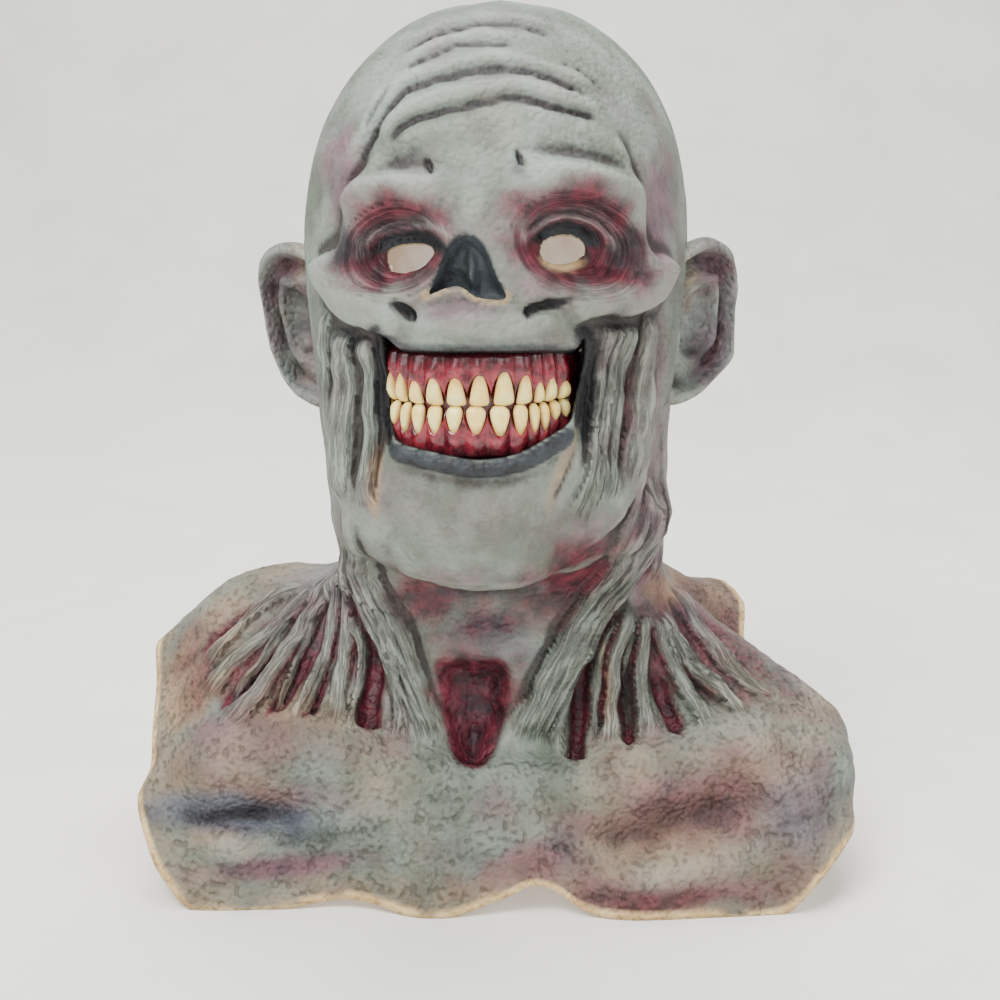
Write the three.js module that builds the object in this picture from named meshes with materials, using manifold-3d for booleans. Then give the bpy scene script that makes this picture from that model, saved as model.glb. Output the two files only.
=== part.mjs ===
// Zombie mask: one hollow latex casting of head, ears, neck and shoulder bib,
// with a gum arch and separate teeth set in its open mouth.
// Millimetres, +Z up, the face looks along -Y, +X is the viewer's right.
import * as THREE from 'three';
import { mergeVertices } from 'three/addons/utils/BufferGeometryUtils.js';
import Module from 'manifold-3d';

const wasm = await Module();
wasm.setup();

// Driving dimensions
const HEIGHT = 438;            // floor to crown
const HEAD_HALF = 94;          // half the head's width at the eyes
const FACE_REACH = 105;        // head axis to the front of the face
const NAPE_REACH = 120;        // head axis to the back of the head
const SHOULDER_HEIGHT = 136;   // floor to the top of the shoulders
const BIB_HALF = 190;          // head axis to the widest hem
const BIB_FRONT = 98;          // head axis to the front hem
const BIB_BACK = 118;          // head axis to the back hem
const WALL = 2.6;              // latex wall
const EAR_HEIGHT = 84;         // lobe to the top of the rim
const EAR_REACH = 40;          // how far an ear stands off the head
const EAR_WALL = 4;            // ear thickness
const ARCH_HALF = 0.489 * HEAD_HALF;   // half width of the gum arch
const ARCH_DEPTH = 0.826 * ARCH_HALF;  // arch centre to its front
const ARCH_THICKNESS = 7;      // gum, front to back
const ARCH_SETBACK = 8;        // front of the face to the front of the gums
const MOUTH_DEPTH = 55;        // front of the face to the back of the mouth's corners
const NOSE_DEPTH = 17;         // front of the face to the bottom of the nose cavity
const TOOTH_THICKNESS = 5;     // tooth, front to back
const GUM_BEVEL = 1.5;         // how far the gum's top and bottom edges fall back
const GAP = 0.3;               // clearance between separate pieces

// Angles and slopes
const TURN = 0.1;              // sideways drift of the head for each mm toward the face
const LEAN = 0.065;            // how far the plane of the face drawing leans back
const FRONT_SAG = 1.6;         // power by which a section's height goes over from side to front
const BACK_ROUND = 0.95;       // power of a section's round back
const RELIEF_FADE = { from: 0.05, to: 0.40 };  // facing share over which the relief comes in
const DENT_EDGE = 1.1;         // where a dent has faded out, as a share of its half size

// Cuts start this share of FACE_REACH ahead of the head's axis, and the eye holes end at this one
const CUT_AHEAD = 1.4;
const EYES_BEHIND = 0.45;
const POCKET_BACK = 4;         // walls between the mouth's back and the end of its cut

// Sections of the head from crown to neck. Reaches are shares of FACE_REACH and NAPE_REACH,
// half widths of HEAD_HALF, heights of HEIGHT; round is the front's squareness.
const SECTION_COLUMNS = ['front', 'frontUp', 'half', 'side', 'sideUp', 'back', 'backUp', 'round', 'turn'];
const SECTIONS = [
  [-0.08, 1.000, 0.005, 0.11, 1.000, 0.10, 1.000, 2.0, 1.0],  // crown
  [0.23, 0.986, 0.36, 0.13, 0.986, 0.42, 0.986, 2.0, 1.0],    // dome
  [0.56, 0.943, 0.65, 0.13, 0.945, 0.72, 0.941, 2.1, 1.0],    // high forehead
  [0.79, 0.890, 0.83, 0.11, 0.895, 0.88, 0.881, 2.2, 1.0],    // wrinkles
  [0.92, 0.831, 0.94, 0.11, 0.836, 0.97, 0.817, 2.3, 1.0],    // forehead
  [0.99, 0.767, 0.99, 0.10, 0.772, 1.00, 0.749, 2.3, 1.0],    // brow
  [0.99, 0.699, 1.00, 0.10, 0.708, 0.99, 0.685, 2.2, 1.0],    // eyes
  [0.99, 0.639, 0.98, 0.10, 0.648, 0.94, 0.626, 2.2, 1.0],    // cheekbones
  [1.00, 0.580, 0.96, 0.11, 0.594, 0.88, 0.571, 2.2, 1.0],    // upper lip
  [1.00, 0.521, 0.94, 0.13, 0.543, 0.81, 0.521, 2.2, 1.0],    // bite
  [0.98, 0.466, 0.93, 0.15, 0.498, 0.76, 0.475, 2.1, 1.0],    // lower lip
  [0.94, 0.425, 0.93, 0.17, 0.461, 0.73, 0.434, 2.0, 1.0],    // chin
  [0.82, 0.393, 0.93, 0.17, 0.429, 0.72, 0.397, 2.0, 0.9],    // under the chin
  [0.61, 0.374, 0.93, 0.17, 0.402, 0.71, 0.368, 2.0, 0.8],    // jaw's root
  [0.46, 0.342, 0.91, 0.17, 0.372, 0.70, 0.340, 2.0, 0.6],    // throat
  [0.44, 0.301, 0.91, 0.17, 0.340, 0.70, 0.313, 2.0, 0.4],    // neck
];

// The bib around the neck. degrees runs from the front toward the viewer's right. foot and shelf
// are shares of the way from neck to hem, across a share of BIB_HALF, ahead of BIB_FRONT or, where
// it is negative, of BIB_BACK, and every height a share of SHOULDER_HEIGHT.
const BIB_COLUMNS = ['degrees', 'foot', 'footUp', 'shelf', 'shelfUp', 'across', 'ahead', 'up'];
const BIB = [
  [-180, 0.25, 0.79, 0.65, 0.49, 0.00, -1.00, 0.00],
  [-148, 0.25, 0.82, 0.65, 0.53, -0.35, -0.98, 0.00],
  [-130, 0.22, 0.90, 0.65, 0.71, -0.59, -0.92, 0.19],
  [-116, 0.20, 0.99, 0.62, 0.91, -0.79, -0.75, 0.49],
  [-105, 0.20, 1.02, 0.62, 0.97, -0.94, -0.49, 0.66],
  [-97, 0.20, 1.01, 0.62, 0.97, -1.00, -0.25, 0.72],
  [-88, 0.18, 0.99, 0.62, 0.90, -0.97, 0.04, 0.63],
  [-80, 0.18, 0.96, 0.62, 0.82, -0.95, 0.35, 0.51],
  [-75, 0.17, 0.93, 0.62, 0.74, -0.94, 0.51, 0.42],
  [-70, 0.17, 0.90, 0.65, 0.67, -0.96, 0.65, 0.34],
  [-65, 0.16, 0.85, 0.66, 0.61, -0.93, 0.79, 0.24],
  [-60, 0.15, 0.82, 0.66, 0.56, -0.88, 0.90, 0.12],
  [-54, 0.15, 0.78, 0.66, 0.51, -0.79, 0.96, 0.00],
  [-40, 0.13, 0.72, 0.62, 0.49, -0.57, 0.94, 0.00],
  [-28, 0.12, 0.66, 0.60, 0.47, -0.38, 0.92, 0.04],
  [-14, 0.10, 0.60, 0.58, 0.46, -0.20, 1.00, 0.00],
  [-8, 0.10, 0.59, 0.55, 0.44, -0.12, 1.00, 0.00],
  [3, 0.10, 0.57, 0.55, 0.44, 0.03, 0.96, 0.07],
  [8, 0.10, 0.57, 0.55, 0.44, 0.10, 0.96, 0.12],
  [13, 0.10, 0.57, 0.55, 0.44, 0.16, 0.95, 0.10],
  [20, 0.10, 0.59, 0.56, 0.44, 0.25, 0.97, 0.02],
  [28, 0.11, 0.62, 0.58, 0.44, 0.37, 0.99, 0.00],
  [40, 0.12, 0.68, 0.62, 0.43, 0.56, 0.95, 0.00],
  [54, 0.14, 0.74, 0.70, 0.42, 0.76, 0.90, 0.00],
  [60, 0.15, 0.76, 0.76, 0.44, 0.85, 0.88, 0.13],
  [66, 0.16, 0.79, 0.84, 0.48, 0.93, 0.71, 0.22],
  [72, 0.17, 0.82, 0.89, 0.53, 0.96, 0.57, 0.25],
  [80, 0.18, 0.86, 0.92, 0.56, 0.97, 0.31, 0.27],
  [90, 0.19, 0.90, 0.92, 0.58, 0.96, 0.00, 0.34],
  [99, 0.20, 0.94, 0.85, 0.62, 0.88, -0.22, 0.48],
  [107, 0.22, 0.97, 0.72, 0.76, 0.72, -0.44, 0.66],
  [114, 0.24, 1.00, 0.66, 0.87, 0.72, -0.64, 0.80],
  [122, 0.24, 1.00, 0.64, 0.90, 0.62, -0.79, 0.86],
  [132, 0.24, 0.94, 0.64, 0.76, 0.50, -0.92, 0.52],
  [149, 0.25, 0.82, 0.65, 0.53, 0.32, -0.99, 0.00],
  [180, 0.25, 0.79, 0.65, 0.49, 0.00, -1.00, 0.00],
];
const BIB_KNOTS = [0, 0.33, 0.68, 1];

// Relief of the face and chest, placed on the face drawing: across is a share of HEAD_HALF, up of
// HEIGHT, and wide, tall and rise of HEAD_HALF. A negative rise is a dent; flat is the level share.
const DENT_COLUMNS = ['across', 'up', 'wide', 'tall', 'tilt', 'rise', 'flat'];
const DENTS = [
  [-0.47, 0.690, 0.25, 0.21, 8, -0.11, 0.30],    // left eye socket
  [0.41, 0.698, 0.30, 0.23, -6, -0.12, 0.30],    // right eye socket
  [-0.46, 0.756, 0.34, 0.11, 4, 0.05, 0.00],     // left brow
  [0.40, 0.770, 0.40, 0.12, -6, 0.06, 0.00],     // right brow
  [-0.86, 0.745, 0.16, 0.34, 12, -0.05, 0.20],   // left temple
  [0.90, 0.775, 0.18, 0.34, -10, -0.05, 0.20],   // right temple
  [-0.64, 0.530, 0.19, 0.44, 2, -0.09, 0.30],    // left cheek hollow
  [0.60, 0.535, 0.21, 0.46, -4, -0.09, 0.30],    // right cheek hollow
  [-0.03, 0.612, 0.42, 0.13, 0, 0.04, 0.20],     // upper jaw
  [-0.04, 0.400, 0.45, 0.24, 0, 0.04, 0.10],     // chin
  [-0.11, 0.165, 0.19, 0.31, 3, -0.17, 0.35],    // pit over the breastbone
];

// Long folds and strands as lines on the same drawing, with a half width and a rise.
const FOLDS = [
  { wide: 0.10, rise: 0.06, line: [[-0.90, 0.685], [-0.76, 0.640], [-0.56, 0.616], [-0.38, 0.612]] },
  { wide: 0.10, rise: 0.06, line: [[0.86, 0.700], [0.76, 0.655], [0.54, 0.638], [0.32, 0.632]] },
  { wide: 0.10, rise: -0.05, line: [[-0.86, 0.52], [-0.84, 0.43], [-0.74, 0.375], [-0.60, 0.345]] },
  { wide: 0.11, rise: -0.08, line: [[0.86, 0.54], [0.84, 0.45], [0.66, 0.39], [0.44, 0.35]] },
  {
    wide: 0.05, rise: 0.03,
    line: [[-0.66, 0.78], [-0.44, 0.829], [-0.11, 0.851], [0.24, 0.856], [0.50, 0.842]],
  },
  { wide: 0.05, rise: 0.03, line: [[-0.58, 0.826], [-0.31, 0.883], [0.05, 0.898], [0.36, 0.880]] },
  { wide: 0.05, rise: 0.02, line: [[-0.45, 0.900], [-0.17, 0.930], [0.16, 0.934]] },
  {
    wide: 0.12, rise: 0.08,
    line: [[-0.80, 0.40], [-0.72, 0.33], [-0.57, 0.26], [-0.46, 0.19], [-0.37, 0.13]],
  },
  { wide: 0.09, rise: 0.07, line: [[-0.85, 0.35], [-0.84, 0.26], [-0.90, 0.20], [-0.97, 0.15]] },
  { wide: 0.10, rise: 0.07, line: [[-0.93, 0.33], [-1.06, 0.28], [-1.18, 0.24], [-1.44, 0.15]] },
  { wide: 0.10, rise: 0.06, line: [[-1.04, 0.32], [-1.30, 0.27], [-1.48, 0.23], [-1.62, 0.18]] },
  { wide: 0.10, rise: -0.07, line: [[-0.69, 0.27], [-0.70, 0.21], [-0.69, 0.14]] },
  { wide: 0.08, rise: -0.06, line: [[-1.00, 0.24], [-1.10, 0.20], [-1.20, 0.16]] },
  { wide: 0.09, rise: -0.05, line: [[-1.20, 0.25], [-1.34, 0.21], [-1.50, 0.17]] },
  { wide: 0.16, rise: 0.10, line: [[0.80, 0.42], [0.62, 0.34], [0.50, 0.30], [0.36, 0.24], [0.20, 0.14]] },
  { wide: 0.10, rise: 0.06, line: [[0.72, 0.29], [0.63, 0.24], [0.61, 0.13]] },
  { wide: 0.11, rise: 0.06, line: [[0.86, 0.30], [1.02, 0.23], [1.26, 0.17]] },
  { wide: 0.11, rise: 0.05, line: [[0.98, 0.32], [1.20, 0.26], [1.51, 0.19]] },
  { wide: 0.09, rise: -0.06, line: [[0.53, 0.25], [0.45, 0.20], [0.41, 0.12]] },
  { wide: 0.10, rise: -0.06, line: [[0.80, 0.22], [0.86, 0.17], [0.94, 0.13]] },
  { wide: 0.24, rise: 0.07, line: [[-1.83, 0.08], [-1.42, 0.12], [-0.90, 0.13], [-0.46, 0.11]] },
  { wide: 0.22, rise: -0.06, line: [[-1.80, 0.045], [-1.50, 0.05], [-1.20, 0.06], [-0.85, 0.06]] },
  { wide: 0.22, rise: 0.06, line: [[-1.61, 0.00], [-1.30, 0.02], [-0.92, 0.04]] },
  { wide: 0.24, rise: 0.06, line: [[0.30, 0.10], [0.80, 0.11], [1.30, 0.135], [1.70, 0.15]] },
  { wide: 0.24, rise: -0.06, line: [[0.62, 0.045], [0.90, 0.05], [1.20, 0.065], [1.50, 0.085]] },
];

// Openings on the same drawing
const MOUTH = [
  [-0.54, 0.604], [-0.57, 0.557], [-0.55, 0.512], [-0.46, 0.490], [-0.25, 0.477], [-0.06, 0.471],
  [0.12, 0.478], [0.27, 0.497], [0.40, 0.520], [0.46, 0.565], [0.45, 0.606], [0.40, 0.592],
  [0.23, 0.589], [-0.06, 0.587], [-0.29, 0.587], [-0.45, 0.590],
];
const NOSE = [
  [-0.12, 0.705], [-0.20, 0.693], [-0.28, 0.654], [-0.32, 0.642], [-0.22, 0.650], [-0.08, 0.644],
  [0.02, 0.640], [0.08, 0.644], [0.02, 0.664], [-0.04, 0.693],
];
const LEFT_EYE = [
  [-0.56, 0.681], [-0.54, 0.690], [-0.43, 0.695], [-0.31, 0.693], [-0.28, 0.684], [-0.34, 0.670],
  [-0.44, 0.664], [-0.53, 0.667],
];
const RIGHT_EYE = [
  [0.25, 0.683], [0.27, 0.697], [0.35, 0.707], [0.43, 0.709], [0.50, 0.703], [0.51, 0.688],
  [0.42, 0.676], [0.31, 0.675],
];
const NOSTRIL = { across: -0.03, up: 0.650, wide: 0.05, tall: 0.025, sides: 8 };

// Outline of each ear from its top root round to its lobe: reach is a share of EAR_REACH and up a
// share of EAR_HEIGHT, both from the middle of the root.
const EARS = [
  {
    side: -1, across: 0.93, up: 0.635, flare: 38,
    edge: [[-0.3, 0.30], [0.05, 0.44], [0.45, 0.50], [0.86, 0.46], [1.02, 0.32], [0.98, 0.10],
      [0.84, -0.18], [0.62, -0.38], [0.34, -0.48], [0.02, -0.50], [-0.3, -0.40]],
  },
  {
    side: 1, across: 0.93, up: 0.642, flare: 44,
    edge: [[-0.3, 0.34], [0.10, 0.46], [0.52, 0.50], [0.88, 0.42], [1.00, 0.24], [0.99, -0.02],
      [0.95, -0.26], [0.70, -0.38], [0.34, -0.48], [-0.02, -0.50], [-0.3, -0.42]],
  },
];
// Rings of an ear from the middle of its back round its edge to the bowl: size of the ring, and how
// far it stands forward or is sunk, as a share of EAR_WALL.
const EAR_MIDDLE = { reach: 0.42, up: 0.02 };
const EAR_STEPS = 20;
const EAR_RINGS = [
  { size: 0.45, rise: -2.6 },
  { size: 0.92, rise: -1.2 },
  { size: 1.00, rise: 0.3 },
  { size: 0.90, rise: 1.1 },
  { size: 0.72, rise: -0.8 },
  { size: 0.50, rise: -0.2 },
  { size: 0.28, rise: -1.8 },
];

// Teeth from the viewer's left to right: degrees of the arch that a tooth takes, and its length as
// a share of ARCH_HALF.
const BITE_UP = 0.590;          // bite line, a share of HEIGHT
// Gum block from bottom to top: a share of HEIGHT, and how far it falls back, a share of GUM_BEVEL
const GUM_PROFILE = [[0.530, 1], [0.545, 0], [0.636, 0], [0.650, 1]];
const GUM_PARTING = 2 * GAP;    // half the space between the two rows
const TOOTH_FILL = 0.86;        // a tooth's width as a share of its room
const UPPER_START = -61;
const UPPER_TEETH = [
  [7.5, 0.17], [7.5, 0.30], [9.5, 0.30], [11, 0.24], [12, 0.28], [13, 0.29],
  [13, 0.32], [13.5, 0.35], [10.5, 0.30], [7, 0.21], [9.5, 0.24], [12, 0.18],
];
const LOWER_START = -60;
const LOWER_TEETH = [
  [9, 0.20], [8.5, 0.24], [8.5, 0.31], [10, 0.30], [10.5, 0.28], [11, 0.26], [13, 0.27],
  [13, 0.30], [10, 0.30], [7, 0.29], [6.5, 0.28], [8, 0.18], [9, 0.17],
];
// Levels of a tooth from its root to its biting edge: place along it, width and thickness
const TOOTH_LEVELS = [
  { along: 0.00, wide: 0.50, thick: 0.55 },
  { along: 0.35, wide: 0.82, thick: 0.95 },
  { along: 0.78, wide: 1.00, thick: 0.90 },
  { along: 1.00, wide: 0.88, thick: 0.42 },
];
// Corners of a tooth's section: across a share of its half width, out of its thickness
const TOOTH_SECTION = [[-0.8, 0], [-1, 0.4], [-0.6, 0.9], [0, 1], [0.6, 0.9], [1, 0.4], [0.8, 0]];

// Mesh fineness
const COLUMNS = [[-66, 66, 34], [66, 114, 8], [114, 246, 10], [246, 294, 8]];  // from, to degrees, count
const HEAD_ROWS = [[0, 3, 4], [3, 5, 3], [5, 11, 16], [11, 15, 7]];  // from section, to section, rows
const BIB_ROWS = 13;
const ARCH_STEPS = 14;
const THINNING = 0.25;          // share of the wall that may be lost between two inner columns
const FORM_STEP = 0.02;         // step in angle and row by which the form's slope is taken
const CROWN_CAP = 0.98;         // how near the crown the head's filled body closes

const LEAN_SLOPE = LEAN * HEIGHT / FACE_REACH;
const ARCH_Y = -FACE_REACH + ARCH_SETBACK + ARCH_DEPTH;
const ARCH_X = -0.075 * HEAD_HALF;

// Colours
const material = (color, roughness) => new THREE.MeshStandardMaterial({ color, roughness, metalness: 0 });

// Value of a smooth curve through places and values
function smooth(places, values, at) {
  const last = places.length - 2;
  let i = 0;
  while (i < last && at >= places[i + 1]) i += 1;
  const step = places[i + 1] - places[i];
  const slope = (a, b) => (values[b] - values[a]) / (places[b] - places[a]);
  const m0 = i > 0 ? slope(i - 1, i + 1) : slope(i, i + 1);
  const m1 = i < last ? slope(i, i + 2) : slope(i, i + 1);
  const t = (at - places[i]) / step;
  const t2 = t * t;
  const t3 = t2 * t;
  return (2 * t3 - 3 * t2 + 1) * values[i] + (t3 - 2 * t2 + t) * step * m0
    + (3 * t2 - 2 * t3) * values[i + 1] + (t3 - t2) * step * m1;
}

// Columns of a table as arrays by name
function columns(names, rows) {
  return Object.fromEntries(names.map((name, k) => [name, rows.map((row) => row[k])]));
}

const sections = columns(SECTION_COLUMNS, SECTIONS);
const sectionPlaces = SECTIONS.map((row, k) => k);
const bib = columns(BIB_COLUMNS, BIB);
const dents = DENTS.map((row) => Object.fromEntries(DENT_COLUMNS.map((name, k) => [name, row[k]])));

// The bib's table carried on past both ends, so that it closes smoothly at the back
const bibRows = [...BIB.slice(-2, -1).map((row) => [row[0] - 360, ...row.slice(1)]), ...BIB,
  ...BIB.slice(1, 2).map((row) => [row[0] + 360, ...row.slice(1)])];
const round = columns(BIB_COLUMNS, bibRows);

// A point of the head at an angle and a section
function headPoint(angle, section) {
  const get = (name) => smooth(sectionPlaces, sections[name], section);
  const sine = Math.sin(angle);
  const cosine = Math.cos(angle);
  const power = 2 / get('round');
  const ahead = Math.abs(cosine);
  const side = get('side') * FACE_REACH;
  const rise = ahead ** FRONT_SAG;
  let x = get('half') * HEAD_HALF * Math.sign(sine) * Math.abs(sine) ** power;
  let y;
  let up;
  if (cosine > 0) {
    y = side + (-get('front') * FACE_REACH - side) * ahead ** power;
    up = get('sideUp') + (get('frontUp') - get('sideUp')) * rise;
  } else {
    y = side + (get('back') * NAPE_REACH - side) * ahead ** BACK_ROUND;
    up = get('sideUp') + (get('backUp') - get('sideUp')) * rise;
  }
  x += (y - side) * TURN * get('turn');
  return new THREE.Vector3(x, y, up * HEIGHT);
}

// A point of the bib at an angle and a share of the way from the neck to the hem
function bibPoint(angle, share) {
  let degrees = THREE.MathUtils.radToDeg(angle);
  if (degrees > 180) degrees -= 360;
  const get = (name) => smooth(round.degrees, round[name], degrees);
  const neck = headPoint(angle, SECTIONS.length - 1);
  const way = smooth(BIB_KNOTS, [0, get('foot'), get('shelf'), 1], share);
  const heights = [neck.z, get('footUp') * SHOULDER_HEIGHT, get('shelfUp') * SHOULDER_HEIGHT,
    get('up') * SHOULDER_HEIGHT];
  const ahead = get('ahead');
  const hemX = get('across') * BIB_HALF;
  const hemY = -ahead * (ahead > 0 ? BIB_FRONT : BIB_BACK);
  return new THREE.Vector3(neck.x + (hemX - neck.x) * way, neck.y + (hemY - neck.y) * way,
    smooth(BIB_KNOTS, heights, share));
}

const NECK = SECTIONS.length - 1;

// A point of the smooth form: row counts sections on the head, and goes on by one over the bib
function formPoint(angle, row) {
  return row <= NECK ? headPoint(angle, row) : bibPoint(angle, Math.min(row - NECK, 1));
}

function formNormal(angle, row) {
  const a = formPoint(angle + FORM_STEP, row).sub(formPoint(angle - FORM_STEP, row));
  const low = Math.min(row + FORM_STEP, NECK + 1);
  const b = formPoint(angle, low).sub(formPoint(angle, Math.max(row - FORM_STEP, 0)));
  return a.cross(b).normalize().negate();
}

// Distance in mm on the face drawing from a place to a line of points
function distanceToLine(x, w, line) {
  let best = Infinity;
  for (let i = 0; i + 1 < line.length; i += 1) {
    const ax = line[i][0] * HEAD_HALF;
    const aw = line[i][1] * HEIGHT;
    const bx = line[i + 1][0] * HEAD_HALF - ax;
    const bw = line[i + 1][1] * HEIGHT - aw;
    const t = THREE.MathUtils.clamp(((x - ax) * bx + (w - aw) * bw) / (bx * bx + bw * bw), 0, 1);
    best = Math.min(best, Math.hypot(x - ax - t * bx, w - aw - t * bw));
  }
  return best;
}

// How far the surface stands off the smooth form at a point, in mm. It fades where the form turns
// away from the drawing, because a place there would be smeared along the line of sight.
function relief(point, normal) {
  const facing = (LEAN_SLOPE * normal.z - normal.y) / Math.hypot(LEAN_SLOPE, 1);
  const seen = THREE.MathUtils.smoothstep(facing, RELIEF_FADE.from, RELIEF_FADE.to);
  if (seen === 0) return 0;
  const x = point.x;
  const w = point.z + LEAN_SLOPE * point.y;
  let rise = 0;
  for (const dent of dents) {
    const tilt = THREE.MathUtils.degToRad(dent.tilt);
    const dx = (x - dent.across * HEAD_HALF) / HEAD_HALF;
    const dw = (w - dent.up * HEIGHT) / HEAD_HALF;
    const u = (dx * Math.cos(tilt) + dw * Math.sin(tilt)) / dent.wide;
    const v = (dw * Math.cos(tilt) - dx * Math.sin(tilt)) / dent.tall;
    rise += dent.rise * (1 - THREE.MathUtils.smoothstep(Math.hypot(u, v), dent.flat, DENT_EDGE));
  }
  for (const fold of FOLDS) {
    const d = distanceToLine(x, w, fold.line) / (fold.wide * HEAD_HALF);
    rise += fold.rise * Math.exp(-d * d);
  }
  return rise * HEAD_HALF * seen;
}

// A solid from points and triangles, turned so that its faces point out
function toSolid(points, triangles) {
  const geometry = new THREE.BufferGeometry();
  const places = points.flatMap((p) => [p.x, p.y, p.z]);
  geometry.setAttribute('position', new THREE.Float32BufferAttribute(places, 3));
  geometry.setIndex(triangles.flat());
  const merged = mergeVertices(geometry, 1e-4);
  const position = merged.getAttribute('position').array;
  const index = Array.from(merged.index.array);
  const kept = [];
  let volume = 0;
  const corner = (k) => new THREE.Vector3().fromArray(position, 3 * k);
  for (let i = 0; i < index.length; i += 3) {
    const [a, b, c] = index.slice(i, i + 3);
    if (a === b || b === c || c === a) continue;
    kept.push([a, b, c]);
    volume += corner(a).dot(corner(b).cross(corner(c)));
  }
  const order = volume < 0 ? kept.map(([a, b, c]) => [a, c, b]) : kept;
  return new wasm.Manifold(new wasm.Mesh({
    numProp: 3, vertProperties: new Float32Array(position), triVerts: new Uint32Array(order.flat()),
  }));
}

// Keeps the main body of a solid, without shavings of a cut
function mainBody(solid) {
  const bodies = solid.decompose();
  return bodies.reduce((best, body) => (body.volume() > best.volume() ? body : best));
}

function toGeometry(solid) {
  const mesh = solid.getMesh();
  const geometry = new THREE.BufferGeometry();
  geometry.setAttribute('position', new THREE.BufferAttribute(new Float32Array(mesh.vertProperties), 3));
  geometry.setIndex(new THREE.BufferAttribute(new Uint32Array(mesh.triVerts), 1));
  geometry.computeVertexNormals();
  return geometry;
}

// Triangles of a grid whose rows are closed rings
function ringTriangles(rows, count, first = 0) {
  const triangles = [];
  for (let r = 0; r + 1 < rows; r += 1) {
    for (let c = 0; c < count; c += 1) {
      const a = first + r * count + c;
      const b = first + r * count + (c + 1) % count;
      triangles.push([a, b, b + count], [a, b + count, a + count]);
    }
  }
  return triangles;
}

// A closed solid from rings, with a fan over each end
function loft(rings) {
  const count = rings[0].length;
  const points = rings.flat();
  const triangles = ringTriangles(rings.length, count);
  for (const [start, flip] of [[0, false], [(rings.length - 1) * count, true]]) {
    const ring = points.slice(start, start + count);
    const middle = ring.reduce((sum, p) => sum.add(p), new THREE.Vector3()).divideScalar(count);
    points.push(middle);
    for (let c = 0; c < count; c += 1) {
      const a = start + c;
      const b = start + (c + 1) % count;
      triangles.push(flip ? [a, b, points.length - 1] : [b, a, points.length - 1]);
    }
  }
  return toSolid(points, triangles);
}

// Outline moved outward by a distance, or inward where it is negative
function grown(outline, distance) {
  const area = outline.reduce((sum, p, k) => sum + p.cross(outline[(k + 1) % outline.length]), 0);
  const turn = area > 0 ? 1 : -1;
  return outline.map((p, k) => {
    const before = outline[(k + outline.length - 1) % outline.length];
    const after = outline[(k + 1) % outline.length];
    const a = p.clone().sub(before).normalize();
    const b = after.clone().sub(p).normalize();
    const normal = new THREE.Vector2(a.y + b.y, -a.x - b.x).normalize().multiplyScalar(turn);
    const spread = Math.max(normal.dot(new THREE.Vector2(a.y, -a.x)) * turn, 0.5);
    return p.clone().add(normal.multiplyScalar(distance / spread));
  });
}

// Outline in mm from places on the face drawing
const drawn = (places) => places.map(([across, up]) => new THREE.Vector2(across * HEAD_HALF, up * HEIGHT));

// A solid that an outline sweeps along the drawing's line of sight, between two depths
function plug(places, from, to) {
  const outline = THREE.ShapeUtils.isClockWise(places) ? places.slice().reverse() : places;
  const ring = (y) => outline.map((p) => new THREE.Vector3(p.x, y, p.y - LEAN_SLOPE * y));
  const count = outline.length;
  const points = [...ring(from), ...ring(to)];
  const triangles = ringTriangles(2, count);
  for (const [a, b, c] of THREE.ShapeUtils.triangulateShape(outline, [])) {
    triangles.push([c, b, a], [a + count, b + count, c + count]);
  }
  return toSolid(points, triangles);
}

// Point of the gum arch at an angle, moved outward by a distance
function archPoint(degrees, outward, z) {
  const t = THREE.MathUtils.degToRad(degrees);
  const y = ARCH_Y - (ARCH_DEPTH + outward) * Math.cos(t);
  const x = ARCH_X + (ARCH_HALF + outward) * Math.sin(t) + (y - ARCH_Y) * TURN;
  return new THREE.Vector3(x, y, z);
}

// Upright solid behind the arch, with its front moved outward by a distance
function archCore(outward, low, high, back) {
  const ring = (z) => {
    const points = [];
    for (let k = 0; k <= ARCH_STEPS; k += 1) {
      points.push(archPoint(-90 + 180 * k / ARCH_STEPS, outward, z));
    }
    points.push(new THREE.Vector3(points[ARCH_STEPS].x, back, z), new THREE.Vector3(points[0].x, back, z));
    return points;
  };
  return loft([ring(low), ring(high)]);
}

// Angles of the columns: close together round the front, wider apart round the back
function columnAngles() {
  const angles = [];
  for (const [from, to, count] of COLUMNS) {
    for (let k = 0; k < count; k += 1) angles.push(from + (to - from) * k / count);
  }
  return angles.map((degrees) => THREE.MathUtils.degToRad(degrees));
}

function rowPlaces() {
  const places = [];
  for (const [from, to, count] of HEAD_ROWS) {
    for (let k = 1; k <= count; k += 1) places.push(from + (to - from) * k / count);
  }
  for (let k = 1; k <= BIB_ROWS; k += 1) places.push(NECK + k / BIB_ROWS);
  return places;
}

const ANGLES = columnAngles();
const ROWS = rowPlaces();
const HEAD_COUNT = ROWS.filter((row) => row <= NECK).length;

// Outer surface as rings, with the rise of each point kept for the inner wall
function outerRings() {
  return ROWS.map((row) => ANGLES.map((angle) => {
    const point = formPoint(angle, row);
    const normal = formNormal(angle, row);
    const rise = relief(point, normal);
    return { point: point.clone().addScaledVector(normal, rise), base: point, normal, rise };
  }));
}

// Inner surface on every second column, a wall's depth under the outer one. Where a column that it
// skips is hollow, both its neighbours go deeper, so that the wall keeps its thickness there too.
function innerRings(outer) {
  const count = ANGLES.length;
  return outer.map((ring) => {
    const depths = ring.map((cell) => cell.rise - WALL);
    for (let c = 1; c < count; c += 2) {
      const next = (c + 1) % count;
      const excess = (depths[c - 1] + depths[next]) / 2 - depths[c] - WALL * THINNING;
      depths[c - 1] -= Math.max(excess, 0);
      depths[next] -= Math.max(excess, 0);
    }
    const kept = ring.map((cell, c) => cell.base.clone().addScaledVector(cell.normal, depths[c]));
    return kept.filter((point, c) => c % 2 === 0);
  });
}

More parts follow.
